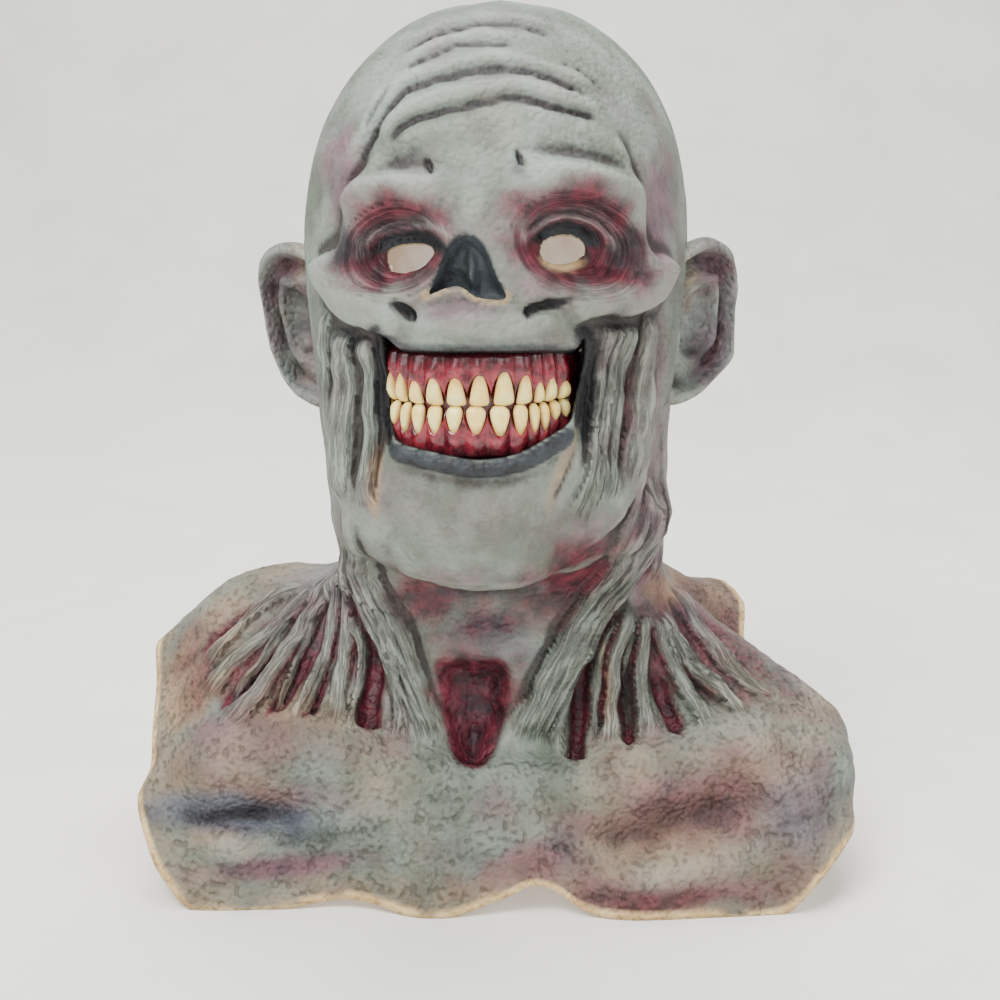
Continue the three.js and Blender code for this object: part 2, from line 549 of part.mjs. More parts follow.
// The hollow wall: outer rings, inner rings and the cut edge between them at the hem
function shell(outer, inner, crown) {
  const count = ANGLES.length;
  const half = count / 2;
  const points = [...outer.flat(), ...inner.flat(), crown, crown.clone().setZ(crown.z - WALL)];
  const innerStart = outer.length * count;
  const outerPole = innerStart + inner.length * half;
  const triangles = ringTriangles(outer.length, count);
  triangles.push(...ringTriangles(inner.length, half, innerStart).map(([a, b, c]) => [a, c, b]));
  for (let c = 0; c < count; c += 1) triangles.push([outerPole, (c + 1) % count, c]);
  for (let c = 0; c < half; c += 1) {
    triangles.push([outerPole + 1, innerStart + c, innerStart + (c + 1) % half]);
  }
  const outerHem = (outer.length - 1) * count;
  const innerHem = innerStart + (inner.length - 1) * half;
  for (let c = 0; c < half; c += 1) {
    const a = outerHem + 2 * c;
    const b = a + 1;
    const d = outerHem + (2 * c + 2) % count;
    const i = innerHem + c;
    const j = innerHem + (c + 1) % half;
    triangles.push([a, b, i], [b, d, j], [b, j, i]);
  }
  return toSolid(points, triangles);
}

// The head alone as a filled body, from its rings down to the neck
function filledHead(rings, crown) {
  const top = rings[0].map((p) => p.clone().lerp(crown, CROWN_CAP));
  return loft([top, ...rings.slice(0, HEAD_COUNT)]);
}

// One ear: its outline carried through rings from the middle of the back round to the front
function ear({ side, across, up, flare, edge }) {
  const places = edge.map((p, k) => k);
  const at = (k, name) => smooth(places, edge.map((p) => p[name]), k);
  const turn = THREE.MathUtils.degToRad(flare);
  const outward = new THREE.Vector3(side * Math.cos(turn), Math.sin(turn), 0);
  const forward = new THREE.Vector3(side * Math.sin(turn), -Math.cos(turn), 0);
  const root = new THREE.Vector3(side * across * HEAD_HALF, 0, up * HEIGHT);
  const ring = (size, rise) => {
    const points = [];
    for (let k = 0; k < EAR_STEPS; k += 1) {
      const place = k * (edge.length - 1) / (EAR_STEPS - 1);
      const reach = EAR_MIDDLE.reach + (at(place, 0) - EAR_MIDDLE.reach) * size;
      const height = EAR_MIDDLE.up + (at(place, 1) - EAR_MIDDLE.up) * size;
      points.push(root.clone().addScaledVector(outward, reach * EAR_REACH)
        .addScaledVector(forward, rise * EAR_WALL).add(new THREE.Vector3(0, 0, height * EAR_HEIGHT)));
    }
    return points;
  };
  return loft(EAR_RINGS.map(({ size, rise }) => ring(size, rise)));
}

function latexSkin() {
  const cells = outerRings();
  const outer = cells.map((ring) => ring.map((cell) => cell.point));
  const inner = innerRings(cells);
  const crown = headPoint(0, 0);
  const head = filledHead(outer, crown);
  const hollow = filledHead(inner, crown.clone().setZ(crown.z - WALL));
  const front = -FACE_REACH * CUT_AHEAD;
  const mouthBack = -FACE_REACH + MOUTH_DEPTH;
  const noseBack = -FACE_REACH + NOSE_DEPTH;
  const mouth = drawn(MOUTH);
  const nose = drawn(NOSE);
  const behind = mouthBack + POCKET_BACK * WALL;

  let body = shell(outer, inner, crown);
  for (const one of EARS) body = body.add(ear(one).subtract(hollow));

  const mouthWall = plug(grown(mouth, WALL), front, mouthBack + WALL)
    .subtract(archCore(-ARCH_THICKNESS - WALL, 0, HEIGHT, behind));
  const noseWall = plug(grown(nose, WALL), front, noseBack + WALL);
  body = body.add(mouthWall.intersect(head)).add(noseWall.intersect(head));

  const mouthSpace = plug(mouth, front, mouthBack).subtract(archCore(-ARCH_THICKNESS, 0, HEIGHT, behind));
  body = body.subtract(mouthSpace).subtract(plug(nose, front, noseBack));

  const through = -FACE_REACH * EYES_BEHIND;
  for (const eye of [LEFT_EYE, RIGHT_EYE]) body = body.subtract(plug(drawn(eye), front, through));
  body = body.subtract(plug(drawn(nostril()), noseBack - WALL, through));

  const slab = new THREE.BoxGeometry(4 * BIB_HALF, 4 * BIB_HALF, HEIGHT);
  slab.deleteAttribute('normal');
  slab.deleteAttribute('uv');
  slab.translate(0, 0, -HEIGHT / 2);
  const box = mergeVertices(slab);
  const floor = new wasm.Manifold(new wasm.Mesh({
    numProp: 3, vertProperties: new Float32Array(box.attributes.position.array),
    triVerts: new Uint32Array(box.index.array),
  }));
  return mainBody(body.subtract(floor));
}

function nostril() {
  const places = [];
  for (let k = 0; k < NOSTRIL.sides; k += 1) {
    const t = 2 * Math.PI * k / NOSTRIL.sides;
    places.push([NOSTRIL.across + NOSTRIL.wide * Math.cos(t),
      NOSTRIL.up + NOSTRIL.tall * Math.sin(t) * HEAD_HALF / HEIGHT]);
  }
  return places;
}

// The gum arch, seated against the back of the mouth and inside its edge
function gums() {
  const rings = GUM_PROFILE.map(([up, back]) => {
    const points = [];
    for (let k = 0; k <= ARCH_STEPS; k += 1) {
      points.push(archPoint(-90 + 180 * k / ARCH_STEPS, -back * GUM_BEVEL, up * HEIGHT));
    }
    for (let k = ARCH_STEPS; k >= 0; k -= 1) {
      points.push(archPoint(-90 + 180 * k / ARCH_STEPS, GAP - ARCH_THICKNESS, up * HEIGHT));
    }
    return points;
  });
  const block = crescent(rings);
  const front = -FACE_REACH * CUT_AHEAD;
  const room = plug(grown(drawn(MOUTH), -GAP), front, -FACE_REACH + MOUTH_DEPTH - GAP);
  return mainBody(block.intersect(room));
}

// A closed solid from stacked crescent rings, whose first half is the front and second the back
function crescent(rings) {
  const count = rings[0].length;
  const points = rings.flat();
  const triangles = ringTriangles(rings.length, count);
  const top = (rings.length - 1) * count;
  for (let k = 0; k + 1 < count / 2; k += 1) {
    const a = k;
    const b = k + 1;
    const c = count - 1 - k;
    const d = c - 1;
    triangles.push([b, a, c], [b, c, d], [top + a, top + b, top + c], [top + b, top + d, top + c]);
  }
  return toSolid(points, triangles);
}

// One tooth on the arch: a flat back just clear of the gum and a rounded front
function tooth(degrees, width, length, downward) {
  const from = archPoint(degrees - 1, 0, 0);
  const to = archPoint(degrees + 1, 0, 0);
  const along = to.sub(from).normalize();
  const outward = new THREE.Vector3(along.y, -along.x, 0);
  const foot = archPoint(degrees, 0, BITE_UP * HEIGHT).addScaledVector(outward, GAP);
  const sign = downward ? 1 : -1;
  const rings = TOOTH_LEVELS.map((level) => TOOTH_SECTION.map(([across, out]) => {
    const z = foot.z + sign * (GUM_PARTING + length * (1 - level.along));
    return new THREE.Vector3(foot.x, foot.y, z)
      .addScaledVector(along, across * width / 2 * level.wide)
      .addScaledVector(outward, out * TOOTH_THICKNESS * level.thick);
  }));
  return loft(rings);
}

// A row of teeth, each in the middle of its room on the arch
function toothRow(start, teeth, downward) {
  let angle = start;
  return teeth.map(([room, length]) => {
    const width = archPoint(angle, 0, 0).distanceTo(archPoint(angle + room, 0, 0)) * TOOTH_FILL;
    const solid = tooth(angle + room / 2, width, length * ARCH_HALF, downward);
    angle += room;
    return solid;
  });
}

const parts = [
  ['latex_skin', latexSkin(), material(0x9aa399, 0.65)],
  ['gums', gums(), material(0x7c1f30, 0.2)],
];
toothRow(UPPER_START, UPPER_TEETH, true).forEach((solid, k) => {
  parts.push([`upper_tooth_${String(k + 1).padStart(2, '0')}`, solid, material(0xf1dc9a, 0.3)]);
});
toothRow(LOWER_START, LOWER_TEETH, false).forEach((solid, k) => {
  parts.push([`lower_tooth_${String(k + 1).padStart(2, '0')}`, solid, material(0xf1dc9a, 0.3)]);
});

const mask = new THREE.Group();
for (const [name, solid, finish] of parts) {
  const mesh = new THREE.Mesh(toGeometry(solid), finish);
  mesh.name = name;
  mask.add(mesh);
}

// The origin is under the middle of the mask's box, on the floor
const box = new THREE.Box3().setFromObject(mask);
const centre = box.getCenter(new THREE.Vector3());
mask.position.set(-centre.x, -centre.y, -box.min.z);
const group = new THREE.Group();
group.add(mask);
group.updateMatrixWorld(true);

export default group;
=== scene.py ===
"""Looks of a latex zombie mask: a hollow skin with ears, a gum arch and two rows of teeth.

Lengths are in millimetres until a mesh is made. The head's axis stands at the origin, +Z is up, the
face looks along -Y and +X is the viewer's right. Places on the face and chest are given on a drawing
seen from the front: across is a share of HEAD_HALF, and up a share of HEIGHT.
"""

import math

import bpy
import numpy as np
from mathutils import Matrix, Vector


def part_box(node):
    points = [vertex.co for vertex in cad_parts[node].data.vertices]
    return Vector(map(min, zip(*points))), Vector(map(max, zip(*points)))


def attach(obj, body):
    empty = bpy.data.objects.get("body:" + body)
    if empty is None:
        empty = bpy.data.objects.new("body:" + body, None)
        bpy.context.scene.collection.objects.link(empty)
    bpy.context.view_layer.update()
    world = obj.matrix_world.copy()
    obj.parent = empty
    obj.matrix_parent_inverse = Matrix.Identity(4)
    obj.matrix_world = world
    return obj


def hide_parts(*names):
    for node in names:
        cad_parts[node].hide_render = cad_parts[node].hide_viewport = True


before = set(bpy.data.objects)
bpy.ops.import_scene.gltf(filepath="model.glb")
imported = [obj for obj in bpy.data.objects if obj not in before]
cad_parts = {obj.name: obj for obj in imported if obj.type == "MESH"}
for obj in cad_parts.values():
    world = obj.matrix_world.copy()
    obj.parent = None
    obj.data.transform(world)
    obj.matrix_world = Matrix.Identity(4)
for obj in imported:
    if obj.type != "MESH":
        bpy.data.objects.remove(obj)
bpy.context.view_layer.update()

# Sizes, as in the solids
HEIGHT = 438
HEAD_HALF = 94
FACE_REACH = 105
NAPE_REACH = 120
SHOULDER_HEIGHT = 136
BIB_HALF = 190
BIB_FRONT = 98
BIB_BACK = 118
WALL = 2.6
EAR_HEIGHT = 84
EAR_REACH = 40
ARCH_HALF = 0.489 * HEAD_HALF
ARCH_DEPTH = 0.826 * ARCH_HALF
ARCH_THICKNESS = 7
ARCH_SETBACK = 8
MOUTH_DEPTH = 55
NOSE_DEPTH = 17
TOOTH_THICKNESS = 5
GAP = 0.3
TURN = 0.1
LEAN_SLOPE = 0.065 * HEIGHT / FACE_REACH
ARCH_Y = -FACE_REACH + ARCH_SETBACK + ARCH_DEPTH
ARCH_X = -0.075 * HEAD_HALF
BITE_UP = 0.590
GUM_PARTING = 2 * GAP

# Sections from crown to neck: front, frontUp, half, side, sideUp, back, backUp, round, turn
SECTIONS = np.array([
    [-0.08, 1.000, 0.005, 0.11, 1.000, 0.10, 1.000, 2.0, 1.0],
    [0.23, 0.986, 0.36, 0.13, 0.986, 0.42, 0.986, 2.0, 1.0],
    [0.56, 0.943, 0.65, 0.13, 0.945, 0.72, 0.941, 2.1, 1.0],
    [0.79, 0.890, 0.83, 0.11, 0.895, 0.88, 0.881, 2.2, 1.0],
    [0.92, 0.831, 0.94, 0.11, 0.836, 0.97, 0.817, 2.3, 1.0],
    [0.99, 0.767, 0.99, 0.10, 0.772, 1.00, 0.749, 2.3, 1.0],
    [0.99, 0.699, 1.00, 0.10, 0.708, 0.99, 0.685, 2.2, 1.0],
    [0.99, 0.639, 0.98, 0.10, 0.648, 0.94, 0.626, 2.2, 1.0],
    [1.00, 0.580, 0.96, 0.11, 0.594, 0.88, 0.571, 2.2, 1.0],
    [1.00, 0.521, 0.94, 0.13, 0.543, 0.81, 0.521, 2.2, 1.0],
    [0.98, 0.466, 0.93, 0.15, 0.498, 0.76, 0.475, 2.1, 1.0],
    [0.94, 0.425, 0.93, 0.17, 0.461, 0.73, 0.434, 2.0, 1.0],
    [0.82, 0.393, 0.93, 0.17, 0.429, 0.72, 0.397, 2.0, 0.9],
    [0.61, 0.374, 0.93, 0.17, 0.402, 0.71, 0.368, 2.0, 0.8],
    [0.46, 0.342, 0.91, 0.17, 0.372, 0.70, 0.340, 2.0, 0.6],
    [0.44, 0.301, 0.91, 0.17, 0.340, 0.70, 0.313, 2.0, 0.4],
])
# Bib by angle: degrees, foot, footUp, shelf, shelfUp, across, ahead, up
BIB = np.array([
    [-180, 0.25, 0.79, 0.65, 0.49, 0.00, -1.00, 0.00],
    [-148, 0.25, 0.82, 0.65, 0.53, -0.35, -0.98, 0.00],
    [-130, 0.22, 0.90, 0.65, 0.71, -0.59, -0.92, 0.19],
    [-116, 0.20, 0.99, 0.62, 0.91, -0.79, -0.75, 0.49],
    [-105, 0.20, 1.02, 0.62, 0.97, -0.94, -0.49, 0.66],
    [-97, 0.20, 1.01, 0.62, 0.97, -1.00, -0.25, 0.72],
    [-88, 0.18, 0.99, 0.62, 0.90, -0.97, 0.04, 0.63],
    [-80, 0.18, 0.96, 0.62, 0.82, -0.95, 0.35, 0.51],
    [-75, 0.17, 0.93, 0.62, 0.74, -0.94, 0.51, 0.42],
    [-70, 0.17, 0.90, 0.65, 0.67, -0.96, 0.65, 0.34],
    [-65, 0.16, 0.85, 0.66, 0.61, -0.93, 0.79, 0.24],
    [-60, 0.15, 0.82, 0.66, 0.56, -0.88, 0.90, 0.12],
    [-54, 0.15, 0.78, 0.66, 0.51, -0.79, 0.96, 0.00],
    [-40, 0.13, 0.72, 0.62, 0.49, -0.57, 0.94, 0.00],
    [-28, 0.12, 0.66, 0.60, 0.47, -0.38, 0.92, 0.04],
    [-14, 0.10, 0.60, 0.58, 0.46, -0.20, 1.00, 0.00],
    [-8, 0.10, 0.59, 0.55, 0.44, -0.12, 1.00, 0.00],
    [3, 0.10, 0.57, 0.55, 0.44, 0.03, 0.96, 0.07],
    [8, 0.10, 0.57, 0.55, 0.44, 0.10, 0.96, 0.12],
    [13, 0.10, 0.57, 0.55, 0.44, 0.16, 0.95, 0.10],
    [20, 0.10, 0.59, 0.56, 0.44, 0.25, 0.97, 0.02],
    [28, 0.11, 0.62, 0.58, 0.44, 0.37, 0.99, 0.00],
    [40, 0.12, 0.68, 0.62, 0.43, 0.56, 0.95, 0.00],
    [54, 0.14, 0.74, 0.70, 0.42, 0.76, 0.90, 0.00],
    [60, 0.15, 0.76, 0.76, 0.44, 0.85, 0.88, 0.13],
    [66, 0.16, 0.79, 0.84, 0.48, 0.93, 0.71, 0.22],
    [72, 0.17, 0.82, 0.89, 0.53, 0.96, 0.57, 0.25],
    [80, 0.18, 0.86, 0.92, 0.56, 0.97, 0.31, 0.27],
    [90, 0.19, 0.90, 0.92, 0.58, 0.96, 0.00, 0.34],
    [99, 0.20, 0.94, 0.85, 0.62, 0.88, -0.22, 0.48],
    [107, 0.22, 0.97, 0.72, 0.76, 0.72, -0.44, 0.66],
    [114, 0.24, 1.00, 0.66, 0.87, 0.72, -0.64, 0.80],
    [122, 0.24, 1.00, 0.64, 0.90, 0.62, -0.79, 0.86],
    [132, 0.24, 0.94, 0.64, 0.76, 0.50, -0.92, 0.52],
    [149, 0.25, 0.82, 0.65, 0.53, 0.32, -0.99, 0.00],
    [180, 0.25, 0.79, 0.65, 0.49, 0.00, -1.00, 0.00],
])
BIB_ROUND = np.vstack([BIB[-2] - [360, 0, 0, 0, 0, 0, 0, 0], BIB, BIB[1] + [360, 0, 0, 0, 0, 0, 0, 0]])
BIB_KNOTS = np.array([0, 0.33, 0.68, 1])
NECK = len(SECTIONS) - 1

# Openings on the drawing
MOUTH = [(-.54, .604), (-.57, .557), (-.55, .512), (-.46, .490), (-.25, .477), (-.06, .471),
         (.12, .478), (.27, .497), (.40, .520), (.46, .565), (.45, .606), (.40, .592), (.23, .589),
         (-.06, .587), (-.29, .587), (-.45, .590)]
NOSE = [(-.12, .705), (-.20, .693), (-.28, .654), (-.32, .642), (-.22, .650), (-.15, .652),
        (-.08, .642), (.00, .639), (.07, .642), (.02, .664), (-.04, .693)]
LEFT_EYE = [(-.56, .681), (-.54, .690), (-.43, .695), (-.31, .693), (-.28, .684), (-.34, .670),
            (-.44, .664), (-.53, .667)]
RIGHT_EYE = [(.25, .683), (.27, .697), (.35, .707), (.43, .709), (.50, .703), (.51, .688),
             (.42, .676), (.31, .675)]

# Relief on the drawing
# Round forms: across, up, half width and half height (both as shares of HEAD_HALF), tilt in degrees,
# rise in mm (a dent is negative) and the level share of the middle
FORMS = [
    (-0.47, 0.690, 0.25, 0.21, 8, -10.5, 0.34),
    (0.41, 0.698, 0.30, 0.23, -6, -11.5, 0.34),
    (-0.46, 0.756, 0.34, 0.11, 4, 4.7, 0.0),
    (0.40, 0.770, 0.40, 0.12, -6, 5.6, 0.0),
    (-0.86, 0.745, 0.16, 0.34, 12, -4.7, 0.2),
    (0.90, 0.775, 0.18, 0.34, -10, -4.7, 0.2),
    (-0.64, 0.530, 0.19, 0.44, 2, -8.5, 0.3),
    (0.60, 0.535, 0.21, 0.46, -4, -8.5, 0.3),
    (-0.03, 0.612, 0.42, 0.13, 0, 3.8, 0.2),
    (-0.04, 0.400, 0.45, 0.24, 0, 3.8, 0.1),
    (-0.38, 0.655, 0.18, 0.10, 20, 2.0, 0.1),
    (0.36, 0.660, 0.20, 0.10, -15, 2.0, 0.1),
    (-0.10, 0.735, 0.14, 0.16, 0, 2.2, 0.1),
    (-0.02, 0.262, 0.20, 0.14, 0, 3.0, 0.2),
    (-0.03, 0.300, 0.66, 0.22, 0, -4.0, 0.0),
    (-1.45, 0.028, 0.34, 0.17, -8, 4.2, 0.1),
]

# Lines of relief: kind, half width and rise in mm, share of the length over which it comes in and
# goes out, and the curve
LINES = [
    ("wrinkle", 2.5, 2.3, .10, .10, [(-.51, .801), (-.44, .822), (-.30, .835), (-.11, .844), (.07, .853),
                                     (.24, .848), (.39, .843), (.52, .834)]),
    ("wrinkle", 2.4, 2.2, .10, .12, [(-.68, .771), (-.58, .814), (-.46, .860), (-.31, .874), (-.12, .884),
                                     (.05, .890), (.22, .884), (.36, .871), (.47, .863)]),
    ("wrinkle", 2.2, 1.7, .15, .15, [(-.46, .892), (-.32, .908), (-.17, .921), (-.04, .923), (.12, .918)]),
    ("wrinkle", 2.2, 1.7, .15, .15, [(-.51, .909), (-.33, .935), (-.14, .949), (-.04, .953), (.16, .949),
                                     (.28, .943)]),
    ("wrinkle", 1.3, 1.0, .2, .2, [(-.62, .820), (-.56, .850), (-.50, .872)]),
    ("wrinkle", 1.3, 1.0, .2, .2, [(.30, .905), (.42, .892), (.52, .872)]),
    ("ledge", 5.0, 2.4, .15, .15, [(-.51, .801), (-.71, .747), (-.77, .696)]),
    ("ledge", 5.0, -2.6, .15, .10, [(.56, .837), (.68, .776), (.74, .713), (.80, .690)]),
    ("ridge", 6.5, 2.6, .2, .2, [(-.74, .728), (-.64, .747), (-.46, .750), (-.30, .742), (-.20, .722)]),
    ("ridge", 7.0, 2.8, .2, .2, [(.08, .728), (.22, .756), (.42, .766), (.62, .756), (.76, .722)]),
    ("ledge", 6.0, 4.6, .05, .15, [(-.90, .690), (-.83, .654), (-.73, .622), (-.56, .607), (-.42, .600)]),
    ("ledge", 6.0, -4.6, .05, .15, [(.90, .700), (.82, .655), (.68, .634), (.52, .630), (.38, .612)]),
    ("ridge", 7.0, 3.4, .1, .3, [(-.88, .700), (-.76, .655), (-.58, .634), (-.42, .622)]),
    ("ridge", 7.0, 3.4, .1, .3, [(.88, .710), (.76, .668), (.56, .650), (.40, .640)]),
    ("slit", 2.0, 4.0, .3, .15, [(-.51, .642), (-.43, .630), (-.35, .618)]),
    ("slit", 2.0, 4.2, .15, .45, [(.14, .621), (.20, .630), (.30, .638), (.44, .646)]),
    ("slit", 1.3, 2.4, .3, .3, [(-.315, .786), (-.295, .775), (-.280, .764)]),
    ("slit", 1.6, 2.4, .5, .05, [(.115, .797), (.125, .785), (.135, .775)]),
    ("cord", 4.6, 3.6, .10, .3, [(-.76, .615), (-.77, .55), (-.75, .47), (-.72, .42)]),
    ("cord", 4.4, 3.6, .10, .3, [(-.66, .606), (-.66, .54), (-.63, .46), (-.60, .41)]),
    ("cord", 3.8, 2.2, .15, .4, [(-.85, .64), (-.87, .57), (-.86, .48)]),
    ("cord", 4.8, 3.8, .10, .3, [(.60, .625), (.59, .57), (.55, .50), (.46, .43)]),
    ("cord", 4.6, 1.6, .10, .4, [(.57, .520), (.50, .46), (.40, .395)]),
    ("cord", 3.4, 3.2, .2, .2, [(.90, .550), (.91, .460), (.88, .380), (.84, .320)]),
    ("cord", 3.0, 2.8, .2, .2, [(.80, .470), (.79, .420), (.75, .370)]),
    ("cord", 5.0, 3.8, .10, .3, [(.67, .628), (.65, .56), (.60, .48), (.52, .42)]),
    ("cord", 4.2, 3.0, .10, .3, [(.78, .645), (.76, .58), (.72, .50), (.66, .44)]),
    ("ledge", 7.0, 5.2, .15, .35, [(-.86, .560), (-.83, .490), (-.78, .425), (-.67, .368), (-.50, .347)]),
    ("ledge", 7.0, -5.2, .15, .35, [(.84, .580), (.80, .505), (.74, .450), (.56, .392), (.34, .362)]),
    ("ledge", 6.0, 5.0, .2, .2, [(-.58, .362), (-.42, .342), (-.22, .328), (-.02, .324), (.20, .336),
                            (.42, .362)]),
    ("wrinkle", 1.3, 0.9, .3, .3, [(-.62, .500), (-.60, .455), (-.56, .420)]),
    ("wrinkle", 1.3, 0.9, .3, .3, [(.42, .500), (.36, .455), (.28, .420)]),
    ("cord", 10.5, 7.5, .12, .20, [(-.80, .42), (-.73, .33), (-.57, .26), (-.46, .19), (-.36, .125)]),
    ("cord", 4.4, 5.6, .15, .18, [(-.83, .36), (-.82, .27), (-.86, .21), (-.88, .145)]),
    ("cord", 4.0, 4.6, .15, .20, [(-.90, .36), (-.93, .26), (-1.01, .20), (-1.08, .15)]),
    ("cord", 5.6, 6.0, .15, .20, [(-.92, .34), (-1.05, .28), (-1.18, .24), (-1.30, .19), (-1.47, .145)]),
    ("cord", 5.0, 5.0, .15, .20, [(-1.00, .325), (-1.22, .272), (-1.43, .232), (-1.63, .180)]),
    ("cord", 4.2, 4.0, .15, .25, [(-1.12, .322), (-1.36, .292), (-1.50, .260), (-1.66, .214)]),
    ("cord", 3.0, 3.0, .2, .2, [(-.62, .30), (-.55, .25), (-.53, .19), (-.54, .13)]),
    ("cord", 2.4, 2.8, .2, .3, [(-.98, .290), (-1.10, .236), (-1.16, .200), (-1.20, .160)]),
    ("cord", 2.4, 2.8, .2, .3, [(-1.10, .290), (-1.28, .240), (-1.40, .205), (-1.46, .185)]),
    ("cord", 2.2, 2.6, .2, .3, [(-.80, .300), (-.76, .250), (-.77, .190), (-.79, .140)]),
    ("pool", 7.6, 9.0, .50, .03, [(-.70, .285), (-.70, .23), (-.69, .150)]),
    ("pool", 4.6, 6.5, .45, .14, [(-.95, .25), (-.98, .20), (-1.03, .160)]),
    ("pool", 5.0, 6.0, .45, .20, [(-1.02, .25), (-1.12, .205), (-1.22, .165)]),
    ("pool", 5.0, 5.0, .45, .24, [(-1.20, .258), (-1.35, .212), (-1.50, .175)]),
    ("pool", 4.2, 4.4, .4, .15, [(-1.30, .300), (-1.50, .272), (-1.68, .238)]),
    ("cord", 10.5, 8.0, .10, .18, [(.84, .46), (.76, .39), (.62, .335), (.50, .295), (.36, .235),
                                   (.24, .175), (.17, .125)]),
    ("cord", 4.6, 5.4, .15, .18, [(.74, .30), (.63, .245), (.62, .185), (.61, .125)]),
    ("cord", 4.2, 5.0, .15, .18, [(.80, .30), (.78, .22), (.82, .14)]),
    ("cord", 4.6, 5.0, .15, .20, [(.84, .30), (.93, .24), (1.04, .195), (1.17, .15)]),
    ("cord", 4.6, 4.6, .15, .25, [(.87, .31), (1.02, .235), (1.22, .195), (1.37, .16)]),
    ("cord", 4.6, 4.2, .15, .25, [(.93, .335), (1.14, .262), (1.34, .215), (1.53, .185)]),
    ("cord", 3.0, 3.0, .2, .2, [(.56, .29), (.47, .235), (.36, .175), (.30, .125)]),
    ("cord", 2.4, 2.8, .2, .3, [(.68, .300), (.56, .250), (.53, .190), (.52, .130)]),
    ("cord", 2.4, 2.8, .2, .3, [(.77, .290), (.70, .240), (.715, .190), (.72, .135)]),
    ("cord", 2.4, 2.8, .2, .3, [(.90, .290), (1.04, .240), (1.18, .210), (1.28, .175)]),
    ("pool", 5.6, 8.0, .45, .03, [(.56, .265), (.47, .205), (.42, .118)]),
    ("pool", 4.0, 6.0, .45, .12, [(.71, .245), (.71, .19), (.715, .128)]),
    ("pool", 5.2, 6.4, .45, .14, [(.84, .235), (.91, .190), (.99, .142)]),
    ("pool", 4.2, 4.4, .4, .2, [(1.10, .255), (1.30, .220), (1.48, .190)]),
    ("ridge", 18, 9.5, .3, .30, [(-1.83, .08), (-1.42, .12), (-.90, .13), (-.46, .11)]),
    ("ridge", 11, -7.4, .20, .30, [(-1.86, .052), (-1.55, .046), (-1.25, .054), (-.98, .046),
                                   (-.72, .050)]),
    ("ridge", 13, 7.5, .3, .3, [(-1.61, .00), (-1.30, .02), (-.92, .04), (-.55, .055)]),
    ("wrinkle", 2.2, 1.8, .25, .25, [(-1.27, .018), (-.98, .026), (-.65, .040)]),
    ("wrinkle", 2.4, 2.0, .3, .3, [(-1.72, .040), (-1.45, .052), (-1.15, .058)]),
    ("ridge", 18, 9.0, .3, .35, [(.30, .10), (.80, .11), (1.30, .135), (1.70, .15)]),
    ("ridge", 12, -7.4, .25, .30, [(.46, .030), (.66, .036), (.95, .050), (1.20, .068), (1.48, .094)]),
    ("wrinkle", 2.2, 1.6, .3, .3, [(.24, .022), (.34, .024), (.46, .004)]),
    ("ridge", 13, 7.0, .3, .3, [(.50, -.012), (.90, -.010), (1.30, .010), (1.62, .040)]),
]
PIT = [(-.34, .235), (-.32, .190), (-.27, .145), (-.19, .117), (-.07, .114), (.02, .140), (.08, .190),
       (.06, .235), (-.05, .252), (-.20, .252)]


# Curves and noise
def smoothstep(value, low, high):
    """3t^2 - 2t^3 with t running from 0 at low to 1 at high, held beyond both."""
    t = np.clip((value - low) / (high - low), 0, 1)
    return t * t * (3 - 2 * t)


def smooth(places, values, at):
    """Cubic Hermite curve through values at places. Each slope is that between the two neighbours.
    Where values has several axes, its first one runs over the places."""
    at = np.asarray(at, float)
    i = np.clip(np.searchsorted(places, at, side="right") - 1, 0, len(places) - 2)
    before, after = np.maximum(i - 1, 0), np.minimum(i + 2, len(places) - 1)
    here, then, back, on = (values[k] if values.ndim == 1 else np.take_along_axis(values, k[None], 0)[0]
                            for k in (i, i + 1, before, after))
    step = places[i + 1] - places[i]
    m0 = (then - back) / (places[i + 1] - places[before])
    m1 = (on - here) / (places[after] - places[i])
    t = (at - places[i]) / step
    t2, t3 = t * t, t * t * t
    return ((2 * t3 - 3 * t2 + 1) * here + (t3 - 2 * t2 + t) * step * m0
            + (3 * t2 - 2 * t3) * then + (t3 - t2) * step * m1)


def traced(line, closed=False, per_knot=7):
    """Knots on the drawing joined by a smooth curve, in mm, with per_knot steps between two knots."""
    knots = np.array(line, float) * (HEAD_HALF, HEIGHT)
    if closed:
        knots = np.vstack([knots[-2:], knots, knots[:3]])
    places = np.arange(len(knots), dtype=float)
    first, last = (2, len(knots) - 3) if closed else (0, len(knots) - 1)
    steps = np.linspace(first, last, per_knot * (last - first) + 1)
    return np.stack([smooth(places, knots[:, k], steps) for k in (0, 1)], 1)


def nearest(x, w, curve):
    """Nearest point of a curve to each place: signed distance (plus on the curve's left), share of the
    way along, and the point itself. Each piece of the curve is tried, and the nearest is kept."""
    best = np.full(x.shape, np.inf)
    side = np.ones(x.shape)
    share = np.zeros(x.shape)
    at_x, at_w = np.zeros(x.shape), np.zeros(x.shape)
    pieces = len(curve) - 1
    for i in range(pieces):
        (ax, aw), (bx, bw) = curve[i], curve[i + 1]
        ex, ew = bx - ax, bw - aw
        t = np.clip(((x - ax) * ex + (w - aw) * ew) / max(ex * ex + ew * ew, 1e-9), 0, 1)
        px, pw = ax + t * ex, aw + t * ew
        far = np.hypot(x - px, w - pw)
        closer = far < best
        best = np.where(closer, far, best)
        side = np.where(closer, np.where(ex * (w - aw) - ew * (x - ax) >= 0, 1.0, -1.0), side)
        share = np.where(closer, (i + t) / pieces, share)
        at_x, at_w = np.where(closer, px, at_x), np.where(closer, pw, at_w)
    return best * side, share, at_x, at_w


